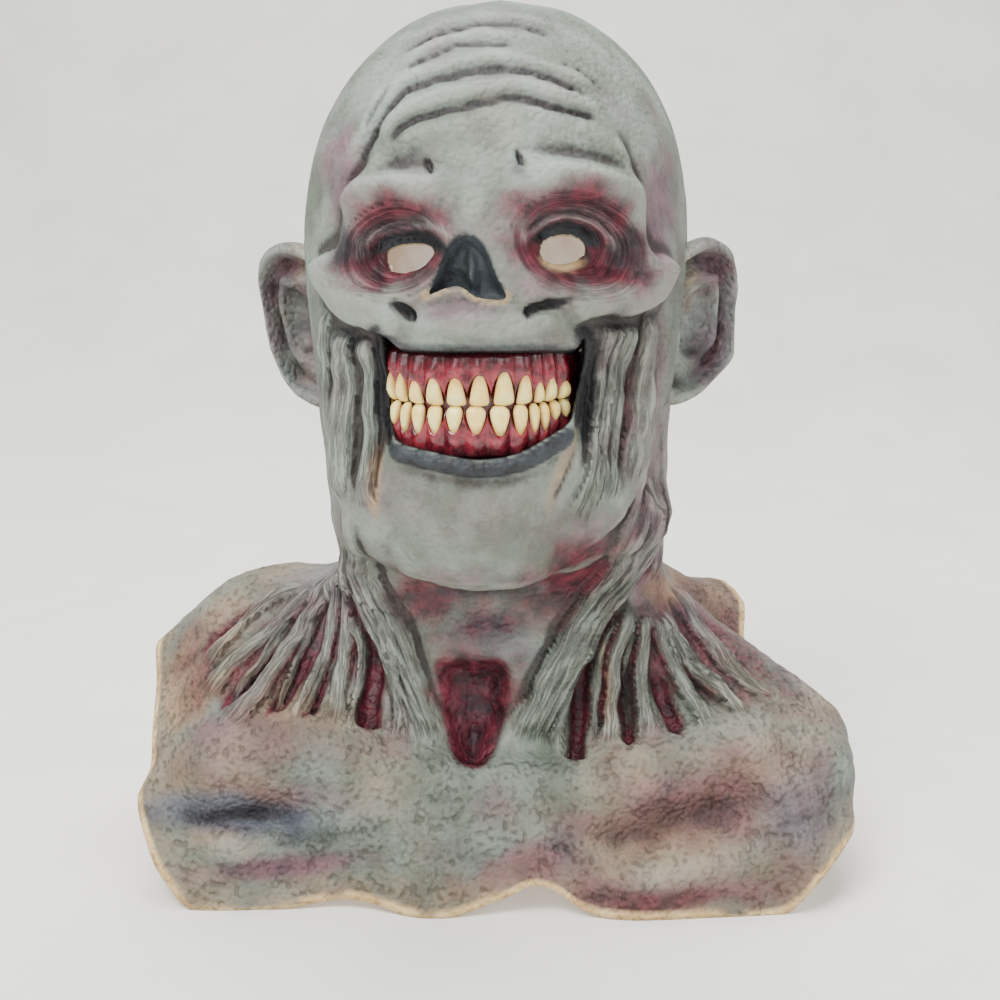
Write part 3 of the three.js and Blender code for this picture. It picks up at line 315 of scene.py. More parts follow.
def within(x, w, curve):
    """True inside a closed curve: a ray to the right crosses it an odd number of times."""
    inside = np.zeros(x.shape, bool)
    for (ax, aw), (bx, bw) in zip(curve[:-1], curve[1:]):
        if aw == bw:
            continue
        crosses = (aw > w) != (bw > w)
        inside ^= crosses & (x < ax + (w - aw) * (bx - ax) / (bw - aw))
    return inside


def near_box(x, w, curve, margin):
    """Which places lie within margin of the box round a curve."""
    low, high = curve.min(0) - margin, curve.max(0) + margin
    return (x > low[0]) & (x < high[0]) & (w > low[1]) & (w < high[1])


def clouds(points, size, seed):
    """Smooth noise from -1 to 1: random values on a lattice of cubes, blended along each axis."""
    table = np.random.RandomState(seed).uniform(-1, 1, (32, 32, 32))
    place = points / size
    cell = np.floor(place).astype(int)
    t = place - cell
    t = t * t * (3 - 2 * t)
    total = np.zeros(points.shape[:-1])
    for corner in np.ndindex(2, 2, 2):
        weight = np.prod(np.where(corner, t, 1 - t), axis=-1)
        i, j, k = np.moveaxis((cell + corner) % 32, -1, 0)
        total += weight * table[i, j, k]
    return total


# Smooth form
def head_point(angle, section):
    """Section of the head: a superellipse in front and a rounder curve behind, whose height goes over
    from the side's to the front's or back's by the power 1.6 of the cosine, drifting with TURN."""
    places = np.arange(len(SECTIONS), dtype=float)
    front, front_up, half, side, side_up, back, back_up, square, turn = (
        smooth(places, column, section) for column in SECTIONS.T)
    sine, cosine = np.sin(angle), np.cos(angle)
    ahead = np.abs(cosine)
    side = side * FACE_REACH
    is_front = cosine > 0
    y = np.where(is_front, side + (-front * FACE_REACH - side) * ahead ** (2 / square),
                 side + (back * NAPE_REACH - side) * ahead ** 0.95)
    up = side_up + (np.where(is_front, front_up, back_up) - side_up) * ahead ** 1.6
    x = half * HEAD_HALF * np.sign(sine) * np.abs(sine) ** (2 / square) + (y - side) * TURN * turn
    return np.stack(np.broadcast_arrays(x, y, up * HEIGHT), -1)


def bib_point(angle, share):
    """Bib: a straight way in plan from the neck to the hem, with four heights along it."""
    degrees = (np.degrees(angle) + 180) % 360 - 180
    places, columns = BIB_ROUND[:, 0], BIB_ROUND[:, 1:].T
    foot, foot_up, shelf, shelf_up, across, ahead, up = (smooth(places, c, degrees) for c in columns)
    neck = head_point(angle, np.full(np.shape(angle), float(NECK)))

    def four(*levels):
        return smooth(BIB_KNOTS, np.stack(np.broadcast_arrays(*levels)), share)

    way = four(0 * foot, foot, shelf, 0 * foot + 1)
    height = four(neck[..., 2], foot_up * SHOULDER_HEIGHT, shelf_up * SHOULDER_HEIGHT,
                  up * SHOULDER_HEIGHT)
    hem_y = -ahead * np.where(ahead > 0, BIB_FRONT, BIB_BACK)
    x = neck[..., 0] + (across * BIB_HALF - neck[..., 0]) * way
    y = neck[..., 1] + (hem_y - neck[..., 1]) * way
    return np.stack([x, y, height], -1)


def form_point(angle, row):
    """The smooth form: row counts sections down to the neck, then goes on by one over the bib."""
    angle, row = np.broadcast_arrays(angle, row)
    on_head = (row <= NECK)[..., None]
    return np.where(on_head, head_point(angle, np.minimum(row, NECK)),
                    bib_point(angle, np.clip(row - NECK, 0, 1)))


def form_normal(angle, row, step=0.02):
    """Outward normal of the smooth form: the cross product of its slopes along angle and row."""
    along = form_point(angle + step, row) - form_point(angle - step, row)
    lower, higher = np.minimum(row + step, NECK + 1), np.maximum(row - step, 0)
    normal = -np.cross(along, form_point(angle, lower) - form_point(angle, higher))
    return normal / np.linalg.norm(normal, axis=-1, keepdims=True)


# The skin's grid: spans of angle in degrees and of rows, with their counts
COLUMN_SPANS = [(-106, 106, 252), (106, 254, 58)]
ROW_SPANS = [(0.12, 3, 26), (3, 13, 164), (13, NECK, 26), (NECK, NECK + 1, 76)]


def spread(spans):
    """Evenly spaced places over each span (start, end, count), one after the other."""
    return np.concatenate([np.linspace(a, b, n, endpoint=False) for a, b, n in spans])


angles = np.radians(spread(COLUMN_SPANS))
rows = np.append(spread(ROW_SPANS), NECK + 1.0)
ANGLE, ROW = np.meshgrid(angles, rows)
BASE = form_point(ANGLE, ROW)
NORMAL = form_normal(ANGLE, ROW)
DRAWN_X = BASE[..., 0]
DRAWN_W = BASE[..., 2] + LEAN_SLOPE * BASE[..., 1]
FACING = (LEAN_SLOPE * NORMAL[..., 2] - NORMAL[..., 1]) / math.hypot(LEAN_SLOPE, 1)
SEEN = smoothstep(FACING, 0.05, 0.40)
# The drawing is wobbled a little, so that no drawn line runs perfectly smooth
WOBBLE_X = DRAWN_X + 0.9 * clouds(BASE, 9, 3) + 0.35 * clouds(BASE, 4, 4)
WOBBLE_W = DRAWN_W + 0.9 * clouds(BASE, 9, 5) + 0.35 * clouds(BASE, 4, 6)


def profile(kind, q):
    """Height across a line at q half widths from it, for a rise of one.
    ridge: a bell. wrinkle: a sharp groove with a soft lip above and below. ledge: a step that is high
    on the left. slit: a deep notch. cord: a half round strand with a crease on both sides. pool: a flat
    bottomed hollow."""
    if kind == "ridge":
        return np.exp(-q * q)
    if kind == "wrinkle":
        return (-np.exp(-np.abs(q) ** 1.5) + 0.65 * np.exp(-((q - 2.3) / 1.6) ** 2)
                + 0.30 * np.exp(-((q + 2.6) / 2.0) ** 2))
    if kind == "ledge":
        return (0.5 + 0.5 * np.tanh(q * 4)) * np.exp(-(np.maximum(q, 0) / 2.2) ** 2) - 0.35 * np.exp(
            -((q + 0.6) / 0.8) ** 2)
    if kind == "slit":
        return -np.exp(-np.abs(q) ** 2.5)
    if kind == "cord":
        return np.maximum(1 - q * q, 0) ** 0.62 - 0.10 * np.exp(-((np.abs(q) - 1.1) / 0.28) ** 2)
    return -(1 - smoothstep(np.abs(q), 0.30, 1.20))


REACH_OF = {"ridge": 2.6, "wrinkle": 6.0, "ledge": 5.0, "slit": 2.0, "cord": 3.0, "pool": 1.3}


def relief_of_lines():
    """Sum of every line's profile, faded in and out along it, with what the paint needs: how much each
    place belongs to a strand, how far across and along it lies, how deep in a hollow, and how much
    painted shade darkens the grooves of wrinkles and slits."""
    total = np.zeros(BASE.shape[:-1])
    strand = np.zeros_like(total)
    across = np.zeros_like(total)
    along = np.zeros_like(total)
    pool = np.zeros_like(total)
    slit = np.zeros_like(total)
    for kind, wide, rise, start, end, line in LINES:
        curve = traced(line)
        pick = near_box(DRAWN_X, DRAWN_W, curve, wide * REACH_OF[kind] + 2) & (SEEN > 0)
        if not pick.any():
            continue
        off, share, _, _ = nearest(WOBBLE_X[pick], WOBBLE_W[pick], curve)
        fade = smoothstep(share, 0, start + 1e-6) * smoothstep(1 - share, 0, end + 1e-6)
        q = off / wide
        if kind == "cord":
            q = q / (1 + 0.8 * smoothstep(share, 0.74, 1.0))
        if kind in ("slit", "pool"):
            # these narrow toward a faded end instead of only getting shallow
            q = q / np.maximum(fade, 0.05) ** 0.5
        if rise < 0 and kind == "ledge":
            q, rise = -q, -rise
        height = profile(kind, q)
        if kind == "cord":
            height = height + 0.14 * np.cos(off * 2 * np.pi / 4.2 + 5 * share) * (np.abs(q) < 0.95)
            mine = np.maximum(1 - q * q, 0) * fade
            stronger = mine > strand[pick]
            length = np.hypot(*np.diff(curve, axis=0).T).sum()
            strand[pick] = np.maximum(strand[pick], mine)
            across[pick] = np.where(stronger, off + 37 * length, across[pick])
            along[pick] = np.where(stronger, share * length, along[pick])
        if kind == "pool":
            pool[pick] = np.maximum(pool[pick], -height * smoothstep(share, 0, 0.35))
        # Painted shade: how strongly the paint darkens the groove of each wrinkle and slit
        if kind == "wrinkle":
            slit[pick] = np.maximum(slit[pick], 0.75 * np.exp(-(1.7 * np.abs(q)) ** 1.6) * fade)
        if kind == "slit":
            slit[pick] = np.maximum(slit[pick], -height * smoothstep(fade, 0.05, 0.4))
        total[pick] += rise * height * fade
    return total, strand, across, along, pool, slit


def relief_of_forms():
    """Sum of the round forms: each level to its flat share, then falling to nothing at 1.1."""
    total = np.zeros(BASE.shape[:-1])
    for across, up, wide, tall, tilt, rise, flat in FORMS:
        q = form_distance(DRAWN_X, DRAWN_W, across, up, wide, tall, tilt)
        total += rise * (1 - smoothstep(q, flat, 1.1))
    return total


def form_distance(x, w, across, up, wide, tall, tilt):
    """How far each place lies from the middle of a tilted ellipse, in half sizes."""
    turn = math.radians(tilt)
    dx = x / HEAD_HALF - across
    dw = (w - up * HEIGHT) / HEAD_HALF
    return np.hypot((dx * math.cos(turn) + dw * math.sin(turn)) / wide,
                    (dw * math.cos(turn) - dx * math.sin(turn)) / tall)


def outline_field(outline, margin=26):
    """Signed distance to an opening's outline, plus outside, with the nearest point and its share."""
    curve = traced(outline, closed=True)
    off = np.full(BASE.shape[:-1], 99.0)
    share, at_x, at_w = np.zeros_like(off), DRAWN_X.copy(), DRAWN_W.copy()
    pick = near_box(DRAWN_X, DRAWN_W, curve, margin) & (FACING > 0.05)
    x, w = DRAWN_X[pick], DRAWN_W[pick]
    far, share[pick], at_x[pick], at_w[pick] = nearest(x, w, curve)
    off[pick] = np.abs(far) * np.where(within(x, w, curve), -1, 1)
    return off, share, at_x, at_w


HOLES = {name: outline_field(outline) for name, outline in (
    ("mouth", MOUTH), ("nose", NOSE), ("left_eye", LEFT_EYE), ("right_eye", RIGHT_EYE))}
MOUTH_OFF, NOSE_OFF = HOLES["mouth"][0], HOLES["nose"][0]
PIT_OFF = outline_field(PIT)[0]


def ring(off, middle, wide):
    """A bell round the distance middle."""
    return np.exp(-((off - middle) / wide) ** 2)


def sockets():
    """Both eye sockets: ring folds over the bowl, a lid fold above the hole and a rim round it."""
    total = np.zeros(BASE.shape[:-1])
    folds = np.zeros_like(total)
    for (across, up, wide, tall, tilt, _, _), name in zip(FORMS[:2], ("left_eye", "right_eye")):
        q = form_distance(DRAWN_X, DRAWN_W, across, up, wide, tall, tilt)
        off = HOLES[name][0]
        wave = 4.6 * q + 0.35 * clouds(BASE, 11, 11) + 0.12 * clouds(BASE, 4, 12)
        window = smoothstep(q, 0.38, 0.55) * (1 - smoothstep(q, 0.98, 1.12))
        total += 0.85 * np.cos(2 * np.pi * wave) * window * smoothstep(off, 3, 6)
        folds = np.maximum(folds, window)
        above = smoothstep(DRAWN_W - up * HEIGHT, -2, 5)
        total += (2.8 * ring(off, 7.5, 2.2) - 1.0 * ring(off, 3.2, 2.0)) * above
        total += 1.6 * ring(off, 2.0, 1.8) * (1 - above)
    return total, folds


line_relief, STRAND, ACROSS, ALONG, POOL, GROOVE_SHADE = relief_of_lines()
socket_relief, SOCKET_FOLDS = sockets()
FROM_MIDDLE = np.abs(DRAWN_X + 0.05 * HEAD_HALF)
LOWER_LIP = ring(MOUTH_OFF, 4.2, 4.0) * smoothstep(0.560 * HEIGHT - DRAWN_W, 0, 14)
LOWER_LIP *= 1 - smoothstep(FROM_MIDDLE + 0.3 * (DRAWN_W - 0.50 * HEIGHT), 36, 46)
# The mouth's corners: sunk a little and given the blue-black paint layer; added to the cavity below, they
# also get its painted shade
CORNER = (1 - smoothstep(MOUTH_OFF, 3.0, 7.0)) * smoothstep(FROM_MIDDLE, 40, 46) * SEEN
UPPER_LIP = ring(MOUTH_OFF, 1.6, 1.5) * smoothstep(DRAWN_W - 0.560 * HEIGHT, 0, 8)
lips = LOWER_LIP * (3.4 + 0.25 * np.cos(DRAWN_X * 2 * np.pi / 4.6 + 2 * clouds(BASE, 6, 21)))
lips += 1.1 * UPPER_LIP - 0.8 * CORNER
PIT_DEEP = smoothstep(-PIT_OFF, -3.5, 13) * smoothstep(0.262 * HEIGHT - DRAWN_W, 0, 26)
pit = -12.5 * PIT_DEEP
pit += smoothstep(-PIT_OFF, 1, 5) * (1.7 * clouds(BASE, 6, 31) + 0.9 * clouds(BASE, 3.2, 32))

# Leathery skin: stronger on the chest and the sides, weak on the bald head
CHEST = smoothstep(ROW, NECK + 0.30, NECK + 0.55)
BARE = smoothstep(0.60 * HEIGHT - BASE[..., 2], 0, 60)
lumps = 0.55 * clouds(BASE, 17, 41) + 0.25 * clouds(BASE, 7, 42)
leather = 0.42 * clouds(BASE, 3.6, 43) + 0.30 * clouds(BASE, 6.5, 44)
pleats = 1.3 * np.cos(9 * ANGLE + 1.6 * clouds(BASE, 40, 45))
pleats += 0.6 * np.cos(23 * ANGLE + 2 * clouds(BASE, 30, 46))
NECK_SIDE = smoothstep(ROW, 10.5, 13) * (1 - smoothstep(ROW, NECK + 0.2, NECK + 0.6)) * (1 - SEEN)
rolls = 1.5 * np.cos(BASE[..., 2] * 2 * np.pi / 17 + 1.5 * clouds(BASE, 35, 47))
NAPE = smoothstep(BASE[..., 1], 30, 75) * smoothstep(ROW, 8, 11) * (1 - smoothstep(ROW, NECK, NECK + 0.5))

RELIEF = SEEN * (relief_of_forms() + line_relief + socket_relief + lips + pit)
RELIEF = RELIEF + lumps * (0.5 + 0.5 * BARE) + leather * (0.25 + 0.85 * CHEST)
RELIEF = RELIEF + pleats * NECK_SIDE * (0.8 - 0.6 * NAPE) + rolls * NAPE
FROM_HEM = np.linalg.norm(BASE - BASE[-1][None], axis=-1)
RELIEF = RELIEF * smoothstep(FROM_HEM, 0, 16)
OUTER = BASE + NORMAL * RELIEF[..., None]
OUTER[..., 2] = np.maximum(OUTER[..., 2], np.maximum(BASE[-1, :, 2], 0))


def over_square(field, steps, taken):
    """Mean or least value over a square of grid cells, wrapping round the head."""
    wrapped = np.concatenate([field[:, -steps:], field, field[:, :steps]], 1)
    wide = taken([wrapped[:, k:k + field.shape[1]] for k in range(2 * steps + 1)], axis=0)
    padded = np.concatenate([wide[:1].repeat(steps, 0), wide, wide[-1:].repeat(steps, 0)], 0)
    return taken([padded[k:k + field.shape[0]] for k in range(2 * steps + 1)], axis=0)


soft_relief = over_square(RELIEF, 5, np.mean)
# Cavity: how far each place lies below the mean of its neighbours. The paint darkens the crevices by it as
# painted shade, and pales the crests.
CAVITY = (soft_relief - RELIEF) / (2.2 + 8.0 * CHEST + 3.5 * smoothstep(BASE[..., 1], 0, 50))
CAVITY = np.clip(CAVITY + CORNER, -1, 1)
INNER_DEPTH = np.minimum(soft_relief, over_square(RELIEF, 3, np.min)) - WALL


# Meshes
shown_low, shown_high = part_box("latex_skin")
HEM = BASE[-1]
SHIFT = np.array([shown_low.x * 1000 - HEM[:, 0].min(), shown_high.y * 1000 - HEM[:, 1].max(), 0.0])


def mesh_object(name, points, faces, material):
    """A smooth shaded mesh in the scene, from whole arrays of points in metres and of faces, one array
    for each number of corners."""
    loops = np.concatenate([f.reshape(-1) for f in faces]).astype(np.int32)
    sizes = np.concatenate([np.full(len(f), f.shape[1]) for f in faces]).astype(np.int32)
    mesh = bpy.data.meshes.new(name)
    mesh.vertices.add(points.size // 3)
    mesh.vertices.foreach_set("co", points.astype(np.float32).reshape(-1))
    mesh.loops.add(len(loops))
    mesh.loops.foreach_set("vertex_index", loops)
    mesh.polygons.add(len(sizes))
    mesh.polygons.foreach_set("loop_start", np.append(0, np.cumsum(sizes)[:-1]).astype(np.int32))
    mesh.polygons.foreach_set("loop_total", sizes)
    mesh.update(calc_edges=True)
    mesh.validate()
    mesh.polygons.foreach_set("use_smooth", np.ones(len(mesh.polygons), bool))
    mesh.materials.append(material)
    made = bpy.data.objects.new(name, mesh)
    bpy.context.scene.collection.objects.link(made)
    return made


def make_piece(name, points, quads, triangles, node, slot, material):
    """A mesh from points in mm about the head's axis, riding on the root body in place of a solid."""
    piece = mesh_object(name, (np.asarray(points, float) + SHIFT) / 1000, (quads, triangles), material)
    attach(piece, "root")
    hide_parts(node)
    return piece


def add_field(piece, name, values):
    """A float attribute on the points."""
    layer = piece.data.attributes.new(name, "FLOAT", "POINT")
    layer.data.foreach_set("value", np.asarray(values, np.float32).reshape(-1))


def add_uv(piece, u, v):
    """A UV map whose value at each corner is that of its point."""
    layer = piece.data.uv_layers.new(name="fibres")
    corners = np.empty(len(piece.data.loops), np.int32)
    piece.data.loops.foreach_get("vertex_index", corners)
    both = np.stack([np.asarray(values, float).reshape(-1)[corners] for values in (u, v)], 1)
    layer.data.foreach_set("uv", both.astype(np.float32).reshape(-1))


def grid_quads(count_rows, count_columns, wrap=True):
    """Corner numbers of the quads of a grid, whose columns may close on themselves."""
    r, c = np.meshgrid(np.arange(count_rows - 1), np.arange(count_columns if wrap else count_columns - 1),
                       indexing="ij")
    d = (c + 1) % count_columns
    corners = [(r + down) * count_columns + column for down, column in ((0, c), (1, c), (1, d), (0, d))]
    return np.stack(corners, -1).reshape(-1, 4)


def fan(ring_indices, pole, flip=False):
    """Triangles from a closed ring of points to one point."""
    nxt = np.roll(ring_indices, -1)
    both = (nxt, ring_indices) if flip else (ring_indices, nxt)
    return np.stack([both[0], both[1], np.full(len(ring_indices), pole)], 1)


def strip(ring_a, ring_b):
    """Quads between two closed rings with the same number of points."""
    return np.stack([ring_a, ring_b, np.roll(ring_b, -1), np.roll(ring_a, -1)], 1)


def closed_tube(points, turned=False):
    """Points, quads and triangles of rings of points, one after the other, with a pole at each end.
    The faces look the other way where turned."""
    count_rows, count_columns = points.shape[:2]
    total = count_rows * count_columns
    poles = np.stack([points[0].mean(0), points[-1].mean(0)])
    first, last = np.arange(count_columns), np.arange(total - count_columns, total)
    quads = grid_quads(count_rows, count_columns)
    triangles = np.concatenate([fan(first, total), fan(last, total + 1, flip=True)])
    step = -1 if turned else 1
    return np.vstack([points.reshape(-1, 3), poles]), quads[:, ::step], triangles[:, ::step]


# Paint on the drawing: across, up, half width, half height, tilt, strength, level share
PAINT_NAMES = ("raw", "mauve", "ochre", "slate", "soot_and_shade", "cream")
PATCHES = {
    "raw": [
        (-.46, .7, .29, .25, 8, 1.0, .66), (.41, .706, .34, .29, -6, 1.0, .66),
        (.0, .3, .66, .16, -4, .62, .2), (.46, .35, .42, .24, 20, .95, .35),
        (-.4, .32, .26, .22, 0, .8, .25), (-.11, .21, .32, .46, 0, .75, .3),
        (.7, .54, .09, .38, -6, .85, .3), (.84, .57, .07, .4, -4, .6, .2),
        (-.3, .505, .06, .05, 0, .25, .2), (-1.15, .235, .62, .26, 16, .9, .35),
        (-.72, .24, .2, .46, 0, .85, .4), (1.1, .24, .62, .28, -18, .9, .4),
        (.56, .23, .22, .5, 8, .85, .4), (-1.62, .105, .16, .1, 10, .35, .1),
        (-1.7, .215, .24, .34, 10, .42, .15), (1.06, .072, .44, .1, 12, .3, .1),
        (.86, -.036, .6, .07, 3, .7, .25), (.2, .004, .34, .14, 20, .35, .1),
        (.86, .42, .12, .6, 0, .6, .2), (-.3, .72, .14, .16, 0, .6, .3)],
    "mauve": [
        (-.74, .775, .18, .4, 14, .75, .2), (.86, .76, .2, .46, -10, .85, .2),
        (-.14, .63, .26, .09, 0, .7, .2), (.2, .668, .16, .16, 0, .45, .2),
        (-.1, .66, .4, .1, 0, .3, .2), (-.55, .43, .3, .18, 0, .3, .2), (.5, .4, .3, .14, 20, .55, .2),
        (-.04, .345, .55, .1, 0, .45, .2), (-1.3, .14, .52, .24, 6, .8, .25),
        (-1.2, .078, .6, .12, -4, .8, .25), (-1.12, -.006, .66, .1, 6, .9, .25),
        (1.08, .072, .84, .3, 14, 1.0, .4), (1.64, .02, .22, .4, 0, .6, .2),
        (.9, -.03, .8, .12, 2, 1.0, .4), (.22, .002, .5, .18, 14, .8, .25),
        (1.24, .3, .46, .32, -18, .7, .25), (-.1, .42, .6, .3, 0, .22, .1),
        (.2, .87, .4, .2, 0, .22, .1), (.82, .42, .22, .7, 0, .7, .2),
        (-.88, .42, .14, .6, 0, .45, .2), (-.6, .59, .3, .12, 0, .35, .2),
        (.7, .65, .24, .14, 0, .4, .2), (.0, .955, .5, .16, 0, .15, .2),
        (-.98, .3, .5, .4, 10, .55, .2), (1.0, .32, .5, .4, -10, .55, .2),
        (-.45, .695, .38, .32, 8, .55, .5), (.42, .7, .43, .36, -6, .6, .5)],
    "ochre": [
        (-1.2, .15, .34, .1, 8, .35, .1), (-1.46, .036, .3, .16, -10, .95, .25),
        (-1.2, -.045, .7, .1, 4, .35, .2), (-1.78, .19, .24, .36, 0, .95, .3),
        (-1.5, .2, .34, .1, 24, .6, .2), (.3, .06, .5, .2, 0, .18, .1),
        (-.585, .455, .035, .26, 4, .95, .2), (.37, .47, .05, .26, -20, .75, .2),
        (.92, .325, .14, .16, -30, .9, .2), (1.2, .33, .26, .18, -20, .9, .2),
        (.6, .2, .04, .34, 6, .8, .2), (.55, .668, .1, .05, 10, .35, .2),
        (.02, .818, .2, .2, 0, .18, .2)],
    "slate": [
        (-1.46, .054, .62, .14, -4, 1.0, .45), (-1.36, .19, .16, .1, 30, .6, .2),
        (1.62, .07, .26, .34, -10, .6, .2), (-.05, .262, .26, .2, 0, .85, .25)],
    "soot_and_shade": [
        (-1.0, .03, .44, .09, 6, .55, .1), (1.0, .06, .66, .12, 12, .3, .1),
        (-.62, .7, .12, .18, 8, .35, .1), (.42, .74, .24, .08, -6, .2, .1),
        (.675, .705, .09, .16, -8, .75, .2), (-.7, .705, .07, .17, 8, .85, .3),
        (-.36, .712, .12, .06, -20, .45, .25), (-.74, .598, .11, .1, 0, .85, .25),
        (.57, .612, .09, .2, 0, .55, .25), (.78, .622, .05, .12, 0, .65, .25),
        (-.6, .54, .09, .3, 0, .95, .35), (.48, .545, .1, .32, 0, 1.0, .6),
        (-.02, .318, .6, .07, 0, .65, .2), (-.03, .815, .1, .16, 0, .35, .1),
        (-.35, .788, .05, .04, 0, .6, .1), (.13, .776, .05, .05, 0, .7, .1),
        (.95, .6, .1, .5, 0, .5, .2), (-.95, .6, .08, .5, 0, .45, .2)],
}


def paint_layers():
    """Strength of every paint at each point: patches, then openings, hollows, slits and hem."""
    paints = {name: np.zeros(BASE.shape[:-1]) for name in PAINT_NAMES}
    broken = 0.20 * clouds(BASE, 11, 51) + 0.05 * clouds(BASE, 4.5, 52)
    x, w = DRAWN_X + 3 * clouds(BASE, 22, 53), DRAWN_W + 3 * clouds(BASE, 22, 54)
    for paint, rows in PATCHES.items():
        for *form, strength, flat in rows:
            layer = strength * (1 - smoothstep(form_distance(x, w, *form) + broken, flat, 1.15)) * SEEN
            paints[paint] = 1 - (1 - paints[paint]) * (1 - layer)
    raw = np.maximum(paints["raw"], np.clip(POOL * 1.5, 0, 1) * SEEN)
    pit_red = smoothstep(-PIT_OFF, -2.5, 2.0) * smoothstep(0.256 * HEIGHT - DRAWN_W, -6, 14) * SEEN
    raw = np.maximum(raw, pit_red)
    paints["raw"] = raw * (1 - 0.88 * smoothstep(STRAND, 0.30, 0.75) * (ROW > 7))
    soot_and_shade = paints["soot_and_shade"] * (1 - 0.8 * smoothstep(STRAND, 0.35, 0.8))
    pit_shade = 0.28 * smoothstep(-PIT_OFF, 3, 12) * smoothstep(0.235 * HEIGHT - DRAWN_W, 0, 14)
    # Painted shade: the grooves of wrinkles and slits and the bottom of the pit get the blue-black paint
    # layer
    soot_and_shade = np.maximum.reduce([soot_and_shade, GROOVE_SHADE, pit_shade])
    for name in ("left_eye", "right_eye"):
        off, _, _, _ = HOLES[name]
        middle = np.mean([up for _, up in (LEFT_EYE if name == "left_eye" else RIGHT_EYE)]) * HEIGHT
        above = smoothstep(DRAWN_W - middle, 0, 4)
        soot_and_shade = np.maximum(soot_and_shade, above * (1 - smoothstep(off + 1.5 * broken, 5.4, 7.4)))
        lid = above * ring(off, 10.0, 2.4) * 0.75
        paints["raw"] = paints["raw"] * (1 - lid)
    soot_and_shade = np.maximum(soot_and_shade, 0.95 * (1 - smoothstep(NOSE_OFF + 4 * broken, 0.2, 1.6)))
    soot_and_shade = np.maximum.reduce([soot_and_shade, smoothstep(LOWER_LIP, 0.12, 0.45), CORNER])
    upper = smoothstep(DRAWN_W - 0.56 * HEIGHT, 0, 8)
    soot_and_shade = np.maximum(soot_and_shade, upper * 0.85 * (1 - smoothstep(MOUTH_OFF + 4 * broken, 1.2, 4.0)))
    paints["soot_and_shade"] = soot_and_shade * SEEN
    below_nose = smoothstep(0.650 * HEIGHT - DRAWN_W, -1.5, 1.5) * ring(NOSE_OFF, 0.6, 1.2)
    lower_lid = smoothstep(0.682 * HEIGHT - DRAWN_W, -1, 3) * ring(HOLES["right_eye"][0], 0.5, 1.5)
    hem = 1 - smoothstep(FROM_HEM + 8 * broken, 2.4, 4.2)
    near_hem = 0.50 * (1 - smoothstep(FROM_HEM + 40 * broken, 4, 26))
    paints["cream"] = np.maximum.reduce([0.5 * below_nose * SEEN, 0.9 * lower_lid * SEEN, hem])
    paints["soot_and_shade"] = paints["soot_and_shade"] * (1 - 0.9 * paints["cream"])
    paints["raw"] = paints["raw"] * (1 - 0.8 * paints["cream"])
    side = 1 - SEEN
    drift = np.clip((0.55 + 0.35 * CHEST) * clouds(BASE, 26, 57) - 0.06, 0, 0.5)
    paints["mauve"] = np.maximum(paints["mauve"], drift)
    tan = CHEST * np.clip(0.30 + 0.6 * clouds(BASE, 30, 58), 0, 0.6) * smoothstep(np.abs(DRAWN_X), 20, 60)
    paints["ochre"] = np.maximum(paints["ochre"], tan)
    paints["mauve"] = np.maximum(paints["mauve"], side * np.clip(0.35 + 0.9 * clouds(BASE, 38, 55), 0, 0.75)
                                 * smoothstep(ROW, 5, 9))
    paints["ochre"] = np.maximum(paints["ochre"], np.maximum(near_hem, side * np.clip(
        0.9 * clouds(BASE, 33, 56), 0, 0.6) * smoothstep(ROW, NECK, NECK + 0.4)))
    return {name: np.clip(layer, 0, 1) for name, layer in paints.items()}


PAINTS = paint_layers()


